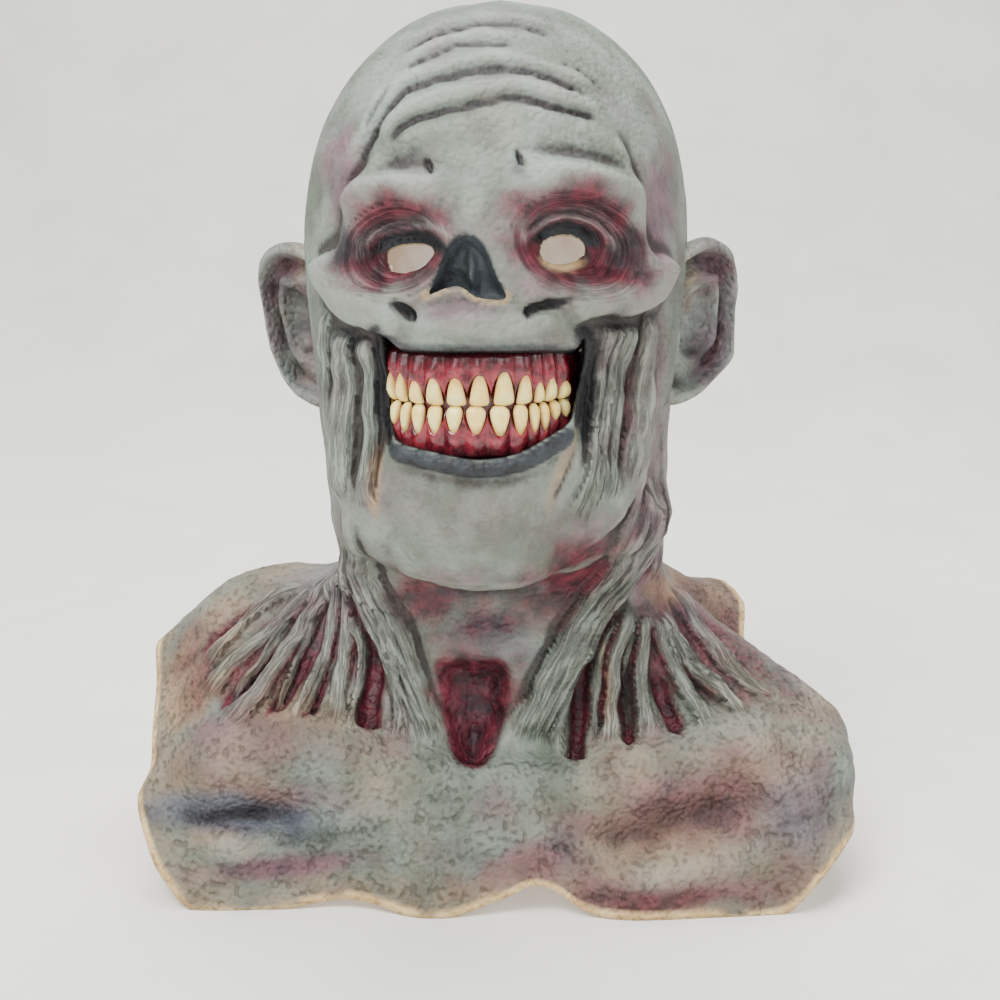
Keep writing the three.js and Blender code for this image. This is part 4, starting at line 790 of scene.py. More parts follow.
# The outer skin, with its holes cut and each hole's wall carried inward from the same points
def cut_skin():
    """Takes out the quads whose middle is inside an opening, moves the points left on its edge to the
    outline along the surface, and carries rings of new points from there: the hole's wall or pocket."""
    count_rows, count_columns = BASE.shape[:2]
    quads = grid_quads(count_rows, count_columns)
    points = OUTER.reshape(-1, 3).copy()
    normals = NORMAL.reshape(-1, 3)
    gone = np.zeros(len(quads), bool)
    extra_points, extra_quads, extra_triangles, extra_paint = [], [], [], []
    total = len(points)
    for name, (off, share, at_x, at_w) in HOLES.items():
        flat_off = off.reshape(-1)
        inside = flat_off[quads].mean(1) < 0
        gone |= inside
        edge = np.intersect1d(quads[inside].reshape(-1), quads[~inside & ~gone].reshape(-1))
        drawn = np.stack([DRAWN_X.reshape(-1)[edge], DRAWN_W.reshape(-1)[edge]], 1)
        target = np.stack([at_x.reshape(-1)[edge], at_w.reshape(-1)[edge]], 1)
        dx, dw = (target - drawn).T
        n = normals[edge]
        dy = -(dx * n[:, 0] + dw * n[:, 2]) / (n[:, 1] - LEAN_SLOPE * n[:, 2])
        points[edge] += np.stack([dx, dy, dw - LEAN_SLOPE * dy], 1)
        loop = edge[np.argsort(share.reshape(-1)[edge], kind="stable")]
        loop = loop[::-1] if signed_area(points[loop]) > 0 else loop
        rings, caps, colours = HOLE_WALLS[name](points[loop])
        numbers = [loop]
        for k, new in enumerate(rings):
            numbers.append(np.arange(total, total + len(new)))
            extra_points.append(new)
            extra_paint.append({key: np.full(len(new), v[k], float) for key, v in colours.items()})
            total += len(new)
        for a, b in zip(numbers[:-1], numbers[1:]):
            extra_quads.append(strip(a, b))
        if caps is not None:
            extra_points.append(caps[None])
            extra_paint.append({key: np.array([v[-1]], float) for key, v in colours.items()})
            extra_triangles.append(fan(numbers[-1], total, flip=True))
            total += 1
    extra_points.append(form_point(angles, np.zeros(len(angles))).mean(0, keepdims=True))
    extra_paint.append({})
    extra_triangles.append(fan(np.arange(count_columns), total))
    total += 1
    hem = np.arange((count_rows - 1) * count_columns, count_rows * count_columns)
    inner_hem = BASE[-1] + NORMAL[-1] * INNER_DEPTH[-1][:, None]
    extra_points.append(inner_hem * [1, 1, 0] + np.maximum(inner_hem, 0) * [0, 0, 1])
    extra_paint.append({"cream": np.ones(count_columns)})
    extra_quads.append(strip(hem, np.arange(total, total + count_columns)))
    quads = np.concatenate([quads[~gone]] + extra_quads)
    paint = {}
    for key in (*PAINT_NAMES, "cavity"):
        paint[key] = np.concatenate([layer.get(key, np.zeros(len(p)))
                                     for layer, p in zip(extra_paint, extra_points)])
    return np.concatenate([points] + extra_points), quads, np.concatenate(extra_triangles), paint


def signed_area(loop):
    """Twice the area of a loop on the drawing, plus where it runs anticlockwise for the viewer."""
    after = np.roll(loop, -1, 0)
    return np.sum(loop[:, 0] * after[:, 2] - after[:, 0] * loop[:, 2])


def pushed(loop, scale, depth):
    """A loop drawn in about its middle by scale, and moved back by depth along the line of sight."""
    middle = loop.mean(0)
    moved = middle + (loop - middle) * scale
    return moved + np.array([0, 1, -LEAN_SLOPE]) * np.reshape(depth, (-1, 1))


def eye_wall(loop):
    """Rim of an eye hole: rounded over, back through the wall, then spread behind the inner surface."""
    rings = [pushed(loop, 0.985, 0.5), pushed(loop, 0.965, 1.6), pushed(loop, 0.98, 4.0),
             pushed(loop, 1.25, 5.5)]
    return rings, None, {"cream": [0.30, 0.45, 1, 1], "soot_and_shade": [0.25, 0.15, 0, 0]}


# Rings of the nose pocket from its edge to its floor: size, depth in mm, soot
NOSE_RINGS = [(.97, 2.0, .85), (.94, 5.0, .66), (.90, 9.0, .48), (.84, 13.0, .34), (.76, 15.5, .24),
              (.66, 16.8, .18), (.54, NOSE_DEPTH, .14)]
NOSE_RINGS += [(scale, NOSE_DEPTH, .12) for scale in (.42, .30, .18, .08)]


def nose_wall(loop):
    """Pocket of the nose: rings go back and draw in, then a floor with a ridge down its middle."""
    rings = []
    for scale, depth, _ in NOSE_RINGS:
        new = pushed(loop, scale, depth)
        ridge = 6.5 * np.exp(-((new[:, 0] - loop[:, 0].mean() - 1.5) / 2.6) ** 2) * (1 - scale)
        lump = 1.6 * clouds(new, 5, 61) * min(1, depth / 8)
        rings.append(new - np.array([0, 1, -LEAN_SLOPE]) * np.reshape(ridge * 1.2 + lump, (-1, 1)))
    return rings, rings[-1].mean(0), {"soot_and_shade": [row[2] for row in NOSE_RINGS], "slate": [0.8] * len(rings)}


def arch_back(x):
    """How far forward the back of the gums stands at x: an ellipse inside the arch, and beyond it the
    back of the mouth."""
    across = (x - ARCH_X) / (ARCH_HALF - ARCH_THICKNESS)
    curve = ARCH_Y - (ARCH_DEPTH - ARCH_THICKNESS) * np.sqrt(np.clip(1 - across ** 2, 0, 1))
    beyond = (MOUTH_DEPTH - FACE_REACH - ARCH_Y) * smoothstep(np.abs(across), 1, 1.15)
    return np.where(np.abs(across) < 1, curve, ARCH_Y + beyond)


# Rings of the mouth pocket: size and share of the way to its floor, which the last ones draw in over
MOUTH_RINGS = [(.985, .03), (.975, .10), (.97, .3), (.965, .6), (.96, 1.0), (.86, 1.0), (.72, 1.0),
               (.56, 1.0), (.40, 1.0), (.24, 1.0), (.10, 1.0)]


def mouth_wall(loop):
    """Pocket of the mouth: its sides go back to the floor, which stands behind the gum arch."""
    rings = []
    middle = loop.mean(0)
    for scale, way in MOUTH_RINGS:
        x = middle[0] + (loop[:, 0] - middle[0]) * scale
        w = loop[:, 2] + LEAN_SLOPE * loop[:, 1]
        w = w.mean() + (w - w.mean()) * scale
        y = arch_back(x)
        if way < 1:
            y = loop[:, 1] + (np.maximum(y, loop[:, 1]) - loop[:, 1]) * way
        rings.append(np.stack([x, y, w - LEAN_SLOPE * y], 1))
    # The walls get the blue-black paint layer, and their cavity adds painted shade, deepest toward the
    # floor
    deep = [1] * (len(rings) - 2)
    return rings, rings[-1].mean(0), {"soot_and_shade": [0.95, 1] + deep, "cavity": [0.3, 0.8] + deep}


HOLE_WALLS = {"mouth": mouth_wall, "nose": nose_wall, "left_eye": eye_wall, "right_eye": eye_wall}


# Ears, as in the solids: side, place of the root, flare and the edge from the top root to the lobe
EARS = {
    "left_ear": (-1, 0.93, 0.635, 30, [
        (-.3, .30), (.05, .44), (.45, .50), (.86, .46), (1.02, .32), (.98, .10), (.84, -.18),
        (.62, -.38), (.34, -.48), (.02, -.50), (-.3, -.40)]),
    "right_ear": (1, 0.93, 0.642, 40, [
        (-.3, .34), (.10, .46), (.52, .50), (.88, .42), (1.00, .24), (.99, -.02), (.95, -.26),
        (.70, -.38), (.34, -.48), (-.02, -.50), (-.3, -.42)]),
}
# Height of the ear's front and back over its plane in mm, by share of the way from edge to middle
EAR_FRONT = [(1.0, 1.0), (.97, 4.6), (.91, 6.8), (.85, 5.6), (.78, -1.0), (.72, -3.0), (.64, -1.4),
             (.55, 1.8), (.47, 1.0), (.38, -3.2), (.28, -5.6), (.12, -6.6), (.0, -6.8)]
EAR_BACK = [(1.0, 0.6), (.985, -1.6), (.93, -4.0), (.80, -6.2), (.60, -8.6), (.40, -10.6), (.20, -11.4),
            (.0, -11.6)]
# The point that the rings draw in to, as shares of EAR_REACH and EAR_HEIGHT like the edge
EAR_MIDDLE = (0.42, 0.02)


def make_ear(name, side, across, up, flare, edge):
    """Ear: rings from the middle of the back over the edge to the bowl in front. Each ring is the edge
    drawn in toward the middle, lifted by a height curve, with folds and lumps of noise on it."""
    knots = np.array(edge)
    t, places = np.linspace(0, len(edge) - 1, 128), np.arange(len(edge), dtype=float)
    outline = np.stack([smooth(places, column, t) for column in knots.T], 1)
    closing = np.linspace(0, 1, 18)[1:-1, None]
    outline = np.vstack([outline, outline[-1] * (1 - closing) + outline[0] * closing])
    way_round = np.arange(len(outline)) / len(outline)
    front = np.array(EAR_FRONT)[::-1]
    back = np.array(EAR_BACK)[::-1]
    back_sizes = np.linspace(0.03, 1, 26) ** 0.8
    front_sizes = 1 - np.linspace(0, 0.98, 56)[1:] ** 1.1
    sizes = np.concatenate([back_sizes, front_sizes])
    heights = np.concatenate([smooth(back[:, 0], back[:, 1], back_sizes),
                              smooth(front[:, 0], front[:, 1], front_sizes)])
    is_front = np.arange(len(sizes)) >= len(back_sizes)
    size, place = np.meshgrid(sizes, way_round, indexing="ij")
    reach, height = (middle + (outline[None, :, k] - middle) * size for k, middle in enumerate(EAR_MIDDLE))
    lobe = smoothstep(place, 0.55, 0.80) * (1 - smoothstep(place, 0.88, 0.93))
    rise = heights[:, None] * np.where(is_front[:, None], 1 - 0.45 * lobe * (size > 0.5), 1.0)
    branch = np.exp(-((height - 0.22 - 0.25 * (reach - 0.5)) / 0.035) ** 2) * (size < 0.6) * (size > 0.15)
    rise = rise + 3.2 * branch * is_front[:, None]
    turn = math.radians(flare)
    outward = np.array([side * math.cos(turn), math.sin(turn), 0])
    forward = np.array([side * math.sin(turn), -math.cos(turn), 0])
    root = np.array([side * across * HEAD_HALF, 0, up * HEIGHT])
    points = (root + reach[..., None] * EAR_REACH * outward + rise[..., None] * forward
              + height[..., None] * EAR_HEIGHT * np.array([0, 0, 1]))
    bumps = 0.9 * clouds(points, 11, 71) + 0.45 * clouds(points, 5, 72) + 0.18 * clouds(points, 2.4, 73)
    bumps *= smoothstep(1 - size, 0, 0.03)
    points = points + (bumps * np.where(is_front, 1, -1)[:, None])[..., None] * forward
    bowl = (1 - smoothstep(size, 0.30, 0.62)) * is_front[:, None]
    groove = ring(size, 0.74, 0.07) * is_front[:, None]
    patchy = clouds(points, 9, 74)
    fields = {
        "raw": np.clip(0.10 * bowl + 0.22 * groove + 0.35 * patchy * is_front[:, None], 0, 0.6),
        "mauve": np.clip(0.32 + 0.6 * clouds(points, 18, 75), 0, 0.7) * is_front[:, None],
        "soot_and_shade": np.clip(0.24 * bowl * patchy, 0, 0.3),
        "slate": np.clip(0.5 * clouds(points, 14, 77) + 0.1, 0, 0.5),
        "ochre": np.clip(0.8 * clouds(points, 16, 76) - 0.1, 0, 0.7) * (reach < 0.5),
        "cream": 0 * size,
        # Cavity for the paint: painted shade in the groove inside the rim and in the dips of the lumps,
        # pale on the rim and on the lumps' tops
        "cavity": np.clip(groove * 0.35 - ring(size, 0.91, 0.06) * 0.5 - 0.5 * bumps, -1, 1),
        "fibre": 0 * size,
    }
    piece = make_piece(name, *closed_tube(points, side < 0), "latex_skin", "latex_skin",
                       MATERIALS["latex_skin"])
    for key, values in fields.items():
        add_field(piece, key, np.append(values.reshape(-1), [0, values[-1].mean()]))
    add_field(piece, "leather", np.full(len(piece.data.vertices), 0.5))
    add_uv(piece, np.append(reach.reshape(-1) * 20, [0, 0]), np.append(height.reshape(-1) * 20, [0, 0]))


# Teeth from the viewer's left: degrees of the arch that a tooth takes, length as a share of ARCH_HALF
UPPER_START, LOWER_START = -61, -60
UPPER_TEETH = [(7.5, .17), (7.5, .30), (9.5, .30), (11, .24), (12, .28), (13, .29), (13, .32), (13.5, .35),
               (10.5, .30), (7, .21), (9.5, .24), (12, .18)]
LOWER_TEETH = [(9, .20), (8.5, .24), (8.5, .31), (10, .30), (10.5, .28), (11, .26), (13, .27), (13, .30),
               (10, .30), (7, .29), (6.5, .28), (8, .18), (9, .17)]
TOOTH_FILL = 0.86  # share of its room that a tooth fills
# Width and thickness of a tooth by share of the way from root to edge, as shares of its room and of
# TOOTH_THICKNESS
UPPER_SHAPE = ([(0, .14), (.2, .46), (.45, .76), (.8, .98), (.94, 1.0), (1, .86)],
               [(0, .50), (.3, .92), (.7, 1.0), (.92, .72), (1, .34)])
LOWER_SHAPE = ([(0, .12), (.25, .50), (.55, .86), (.8, 1.0), (.93, .90), (1, .58)],
               [(0, .50), (.3, .95), (.7, 1.0), (.92, .74), (1, .34)])


# The gums' foot and top as shares of HEIGHT
GUM_FOOT, GUM_TOP = 0.531, 0.648


def arch_point(degrees, outward, z):
    """Point of the gum arch: an ellipse round (ARCH_X, ARCH_Y), grown by outward, drifting with TURN."""
    t = np.radians(degrees)
    y = ARCH_Y - (ARCH_DEPTH + outward) * np.cos(t)
    x = ARCH_X + (ARCH_HALF + outward) * np.sin(t) + (y - ARCH_Y) * TURN
    return np.stack(np.broadcast_arrays(x, y, z), -1)


def tooth_rooms(start, teeth):
    """Middle angle, width in degrees and length in mm of every tooth of a row."""
    room = np.array([row[0] for row in teeth], float)
    middle = start + np.cumsum(room) - room / 2
    return middle, room, np.array([row[1] for row in teeth]) * ARCH_HALF


def make_tooth(name, index, middle, room, length, downward):
    """Tooth: a superellipse section, domed in front and flat toward the gum, carried from a narrow root
    through a wide crown to a worn edge. Upper teeth end straight, lower ones rounder."""
    random = np.random.RandomState(200 + index + (0 if downward else 40))
    sides = arch_point(middle - room / 2, 0, 0) - arch_point(middle + room / 2, 0, 0)
    width = np.linalg.norm(sides) * TOOTH_FILL
    along = arch_point(middle + 1, 0, 0) - arch_point(middle - 1, 0, 0)
    along /= np.linalg.norm(along)
    outward = np.array([along[1], -along[0], 0])
    foot = arch_point(middle, 0, BITE_UP * HEIGHT) + outward * GAP
    sign = 1 if downward else -1
    levels, turns = np.linspace(0, 1, 22), np.linspace(0, 2 * np.pi, 28, endpoint=False)
    level, turn = np.meshgrid(levels, turns, indexing="ij")
    wide, thick = (smooth(*np.array(line).T, level) for line in (UPPER_SHAPE if downward else LOWER_SHAPE))
    sine, cosine = np.sin(turn), np.cos(turn)
    across = np.sign(cosine) * np.abs(cosine) ** 0.78 * width / 2 * wide
    out = (0.5 + 0.5 * np.sign(sine) * np.abs(sine) ** 0.85) * TOOTH_THICKNESS * thick * 1.02
    lean = random.uniform(-0.05, 0.05) * length * (level - 0.3)
    up = GUM_PARTING + (length + 1.6) * (1 - level) - 0.6 * (1 - np.abs(across / (width / 2)) ** 2) * (
        level ** 6)
    up = up + random.uniform(-0.35, 0.35) * (across / width) * level
    ridges = 0.10 * np.cos(across * 2 * np.pi / 1.9 + random.uniform(0, 6)) * (sine > 0)
    points = (foot + (across + lean)[..., None] * along + (out + ridges)[..., None] * outward
              + (sign * up)[..., None] * np.array([0, 0, 1]))
    piece = make_piece(name + "_enamel", *closed_tube(points, downward), name, "teeth", MATERIALS["teeth"])
    add_field(piece, "root", np.append((1 - level).reshape(-1), [1, 0]))
    add_field(piece, "flank", np.append(np.abs(cosine).reshape(-1) ** 3, [0, 0]))
    add_field(piece, "shade", np.full(len(piece.data.vertices), random.uniform(0, 1)))


def make_gums():
    """Gum arch: for each angle a closed profile, whose front bulges over the roots and dips between
    them, with a scalloped margin that follows each tooth's length, and thin veins of noise."""
    degrees = np.linspace(-82, 82, 300)
    z_low = GUM_FOOT * HEIGHT + 5 * smoothstep(np.abs(degrees), 45, 78)
    z_high = GUM_TOP * HEIGHT - 3 * smoothstep(np.abs(degrees), 50, 78)
    share = np.linspace(0, 1, 84)
    z = z_low + (z_high - z_low) * share[:, None]
    angle = np.broadcast_to(degrees, z.shape)
    offset = np.zeros(z.shape)
    for sign, (middle, room, length) in ((1, tooth_rooms(UPPER_START, UPPER_TEETH)),
                                         (-1, tooth_rooms(LOWER_START, LOWER_TEETH))):
        nearest_tooth = np.argmin(np.abs(angle[..., None] - middle), -1)
        local = (angle - middle[nearest_tooth]) / room[nearest_tooth]
        reach = smooth(middle, length, np.clip(angle, middle[0], middle[-1]))
        margin = length[nearest_tooth] * (1 - 0.62 * np.abs(local * 2) ** 2.2) - 1.2
        beyond = (z - BITE_UP * HEIGHT) * sign
        swell = smoothstep(beyond, margin - 2.0, margin + 2.2)
        root = np.cos(np.clip(local, -.5, .5) * np.pi) ** 1.2
        fall = 1 - 0.35 * smoothstep(beyond, reach + 3, reach + 13)
        offset += np.where(beyond > 0, swell * (2.5 + 2.3 * root) * fall, 0)
    surface = arch_point(angle, 0, z)
    veins = 0.30 * clouds(surface, 4.5, 81) + 0.16 * clouds(surface * [1, 1, 0.35], 2.2, 82)
    front_offset = offset + veins
    roll = np.minimum(share, 1 - share)[:, None]
    front_offset -= 2.6 * (1 - smoothstep(roll, 0, 0.06))
    front = arch_point(angle, front_offset, z)
    back_levels = np.linspace(1, 0, 10)[:, None]
    back_z = z_low + (z_high - z_low) * back_levels
    back = arch_point(np.broadcast_to(degrees, back_z.shape), GAP - ARCH_THICKNESS, back_z)
    rings = np.concatenate([front, back], 0).transpose(1, 0, 2)
    piece = make_piece("gums_cast", *closed_tube(rings), "gums", "gums", MATERIALS["gums"])
    # Fields for the paint's painted shade: hollow, low between the roots, and edge, along the top and
    # bottom of the front and at the far ends
    hollow, edge = np.zeros((2, *rings.shape[:2]))
    hollow[:, :len(share)] = (1 - smoothstep(offset, 0.3, 3.8)).T
    edge[:, :len(share)] = (1 - smoothstep(roll + 0 * z, 0.02, 0.20)).T
    edge = np.maximum(edge, smoothstep(np.abs(degrees), 48, 76)[:, None])
    add_field(piece, "hollow", np.append(hollow.reshape(-1), [0, 0]))
    add_field(piece, "edge", np.append(edge.reshape(-1), [1, 1]))


def make_inside():
    """Inner wall at every second row and column, a wall's depth under the skin and blind to its finest
    relief, with the backs of the mouth and nose pockets. Its faces look into the hollow."""
    points = (BASE + NORMAL * INNER_DEPTH[..., None])[::2, ::2]
    points[..., 2] = np.maximum(points[..., 2], 0)
    count_rows, count_columns = points.shape[:2]
    quads = grid_quads(count_rows, count_columns)
    gone = np.zeros(len(quads), bool)
    for name, margin in (("mouth", 6.5), ("nose", 5.0), ("left_eye", 1.8), ("right_eye", 1.8)):
        gone |= HOLES[name][0][::2, ::2].reshape(-1)[quads].mean(1) < margin
    quads = quads[~gone][:, ::-1]
    flat = points.reshape(-1, 3)
    total = len(flat)
    pole = flat[:count_columns].mean(0, keepdims=True)
    triangles = fan(np.arange(count_columns), total, flip=True)
    new_points, new_quads = [pole], []
    total += 1
    for outline, wall in ((MOUTH, mouth_wall), (NOSE, nose_wall)):
        curve = traced(outline, closed=True)[:-1]
        reach = -FACE_REACH + 4.0 + 0.0045 * np.abs(curve[:, 0]) ** 2
        loop = np.stack([curve[:, 0], reach, curve[:, 1] - LEAN_SLOPE * reach], 1)
        loop = loop[::-1] if signed_area(loop) > 0 else loop
        rings, cap, _ = wall(loop)
        before = None
        for new in rings[3:]:
            middle = new.mean(0)
            radius = np.linalg.norm(new - middle, axis=1).mean()
            shell = middle + (new - middle) * (radius + WALL) / radius + [0, WALL, 0]
            numbers = np.arange(total, total + len(shell))
            new_points.append(shell)
            if before is not None:
                new_quads.append(strip(before, numbers)[:, ::-1])
            before = numbers
            total += len(shell)
        new_points.append((cap + [0, WALL, 0])[None])
        triangles = np.concatenate([triangles, fan(before, total)])
        total += 1
    make_piece("skin_inside", np.vstack([flat] + new_points), np.concatenate([quads] + new_quads),
               triangles, "latex_skin", "latex_skin", MATERIALS["bare_latex"])


# Materials
def display(red, green, blue):
    """Linear colour of a display colour given from 0 to 255."""
    value = np.array([red, green, blue]) / 255
    linear = np.where(value <= 0.04045, value / 12.92, ((value + 0.055) / 1.055) ** 2.4)
    return (*linear.tolist(), 1.0)


def put(tree, kind, inputs=None, **settings):
    """Adds a node, sets its settings, and sets or links its inputs."""
    node = tree.nodes.new(kind)
    for key, value in settings.items():
        setattr(node, key, value)
    for key, value in (inputs or {}).items():
        if isinstance(value, bpy.types.NodeSocket):
            tree.links.new(value, node.inputs[key])
        else:
            node.inputs[key].default_value = value
    return node


def blend(tree, factor, first, second, way="MIX"):
    """Colour that goes from first to second by factor."""
    node = put(tree, "ShaderNodeMix", {0: factor, 6: first, 7: second}, data_type="RGBA", blend_type=way)
    return node.outputs[2]


def sum_up(tree, way, first, second=0.0, third=0.0, held=False):
    """One step of arithmetic."""
    return put(tree, "ShaderNodeMath", {0: first, 1: second, 2: third},
               operation=way, use_clamp=held).outputs[0]


def ramp(tree, value, low, high, to_low=0.0, to_high=1.0):
    """Value carried smoothly from one range to another and held at both ends."""
    return put(tree, "ShaderNodeMapRange", {0: value, 1: low, 2: high, 3: to_low, 4: to_high},
               interpolation_type="SMOOTHSTEP").outputs[0]


def noise(tree, vector, scale, detail=3.0, rough=0.55):
    """Noise from 0 to 1 about 0.5."""
    return put(tree, "ShaderNodeTexNoise", {"Vector": vector, "Scale": scale, "Detail": detail,
                                            "Roughness": rough}).outputs["Fac"]


def field(tree, name):
    """A float attribute of the piece."""
    return put(tree, "ShaderNodeAttribute", attribute_name=name).outputs["Fac"]


def new_group(name, inputs, outputs):
    """Empty shader node group with named sockets, given as (name, socket type, default)."""
    group = bpy.data.node_groups.new(name, "ShaderNodeTree")
    for label, kind, value in inputs:
        socket = group.interface.new_socket(label, in_out="INPUT", socket_type=kind)
        socket.default_value = value
    for label, kind in outputs:
        group.interface.new_socket(label, in_out="OUTPUT", socket_type=kind)
    return group, group.nodes.new("NodeGroupInput").outputs, group.nodes.new("NodeGroupOutput").inputs


def placed(tree, group, inputs):
    """A node group placed in a tree: its outputs, with its inputs set or linked."""
    return put(tree, "ShaderNodeGroup", inputs, node_tree=group).outputs


def mottled_group():
    """Two tones of a paint sponged over each other: broad clouds and a fine airbrushed speckle."""
    group, given, result = new_group("mottled_paint", [
        ("Pale", "NodeSocketColor", (1, 1, 1, 1)), ("Deep", "NodeSocketColor", (0, 0, 0, 1)),
        ("Scale", "NodeSocketFloat", 40.0), ("Speckle", "NodeSocketFloat", 0.25)],
        [("Color", "NodeSocketColor")])
    place = put(group, "ShaderNodeTexCoord").outputs["Object"]
    broad = noise(group, place, given["Scale"], 4.0, 0.6)
    fine = noise(group, place, 950.0, 2.0, 0.6)
    mask = sum_up(group, "MULTIPLY_ADD", sum_up(group, "SUBTRACT", fine, 0.5), given["Speckle"],
                  ramp(group, broad, 0.34, 0.66), held=True)
    group.links.new(blend(group, mask, given["Deep"], given["Pale"]), result["Color"])
    return group


def mottled(tree, pale, deep, scale, speckle):
    """Colour of the mottled paint with its two tones given from 0 to 255."""
    return placed(tree, MOTTLED, {"Pale": display(*pale), "Deep": display(*deep), "Scale": scale,
                                  "Speckle": speckle})["Color"]


def grain_group():
    """Leathery skin: rounded pebbles with gaps between them in patches, which the paint darkens as painted
    shade, and fine pores.
    """
    group, given, result = new_group("leathery_grain", [
        ("Scale", "NodeSocketFloat", 400.0), ("Pores", "NodeSocketFloat", 0.3)],
        [("Height", "NodeSocketFloat"), ("Crease", "NodeSocketFloat")])
    place = put(group, "ShaderNodeTexCoord").outputs["Object"]
    pebbles = put(group, "ShaderNodeTexVoronoi", {"Vector": place, "Scale": given["Scale"]},
                  feature="SMOOTH_F1").outputs["Distance"]
    crease = sum_up(group, "MULTIPLY", ramp(group, pebbles, 0.38, 0.66),
                    ramp(group, noise(group, place, 110.0, 3.0), 0.40, 0.58))
    pores = noise(group, place, 1500.0, 2.0, 0.7)
    height = sum_up(group, "MULTIPLY_ADD", pores, given["Pores"], sum_up(group, "MULTIPLY", pebbles, -1.0))
    height = sum_up(group, "SUBTRACT", height, sum_up(group, "MULTIPLY", crease, 0.5))
    group.links.new(height, result["Height"])
    group.links.new(crease, result["Crease"])
    return group


def fibre_group():
    """Torn fibres along a strand: noise stretched in the UV map's second direction. The paint darkens the
    grooves between them as painted shade.
    """
    group, given, result = new_group("torn_fibres", [("Fineness", "NodeSocketFloat", 1.0)],
                                     [("Height", "NodeSocketFloat"), ("Crease", "NodeSocketFloat")])
    uv = put(group, "ShaderNodeUVMap", uv_map="fibres").outputs["UV"]
    stretched = put(group, "ShaderNodeMapping", {"Vector": uv, "Scale": (0.85, 0.055, 1.0)})
    coarse = noise(group, stretched.outputs["Vector"], given["Fineness"], 4.0, 0.65)
    crease = ramp(group, coarse, 0.55, 0.40)
    height = sum_up(group, "SUBTRACT", coarse, crease)
    group.links.new(height, result["Height"])
    group.links.new(crease, result["Crease"])
    return group


def crests_and_crevice_shade_group():
    """From the cavity field: where the crevices are darkened as painted shade and where crests are brushed
    pale.
    """
    group, given, result = new_group("crest_and_crevice", [
        ("Cavity", "NodeSocketFloat", 0.0), ("Breakup", "NodeSocketFloat", 0.3)],
        [("Crest", "NodeSocketFloat"), ("Crevice", "NodeSocketFloat")])
    place = put(group, "ShaderNodeTexCoord").outputs["Object"]
    rough = sum_up(group, "SUBTRACT", noise(group, place, 420.0, 3.0, 0.65), 0.5)
    value = sum_up(group, "MULTIPLY_ADD", rough, given["Breakup"], given["Cavity"])
    group.links.new(ramp(group, value, -0.05, -0.50), result["Crest"])
    group.links.new(ramp(group, value, 0.06, 0.62), result["Crevice"])
    return group


def new_material(name):
    """Material with one Principled shader: its tree and the shader's inputs."""
    material = bpy.data.materials.new(name)
    material.use_nodes = True
    tree = material.node_tree
    shader = tree.nodes["Principled BSDF"]
    return material, tree, shader.inputs


def bumped(tree, height, strength, distance, under=None):
    """Normal that a height gives, laid over another one where there is one."""
    inputs = {"Height": height, "Strength": strength, "Distance": distance}
    if under is not None:
        inputs["Normal"] = under
    return put(tree, "ShaderNodeBump", inputs).outputs["Normal"]


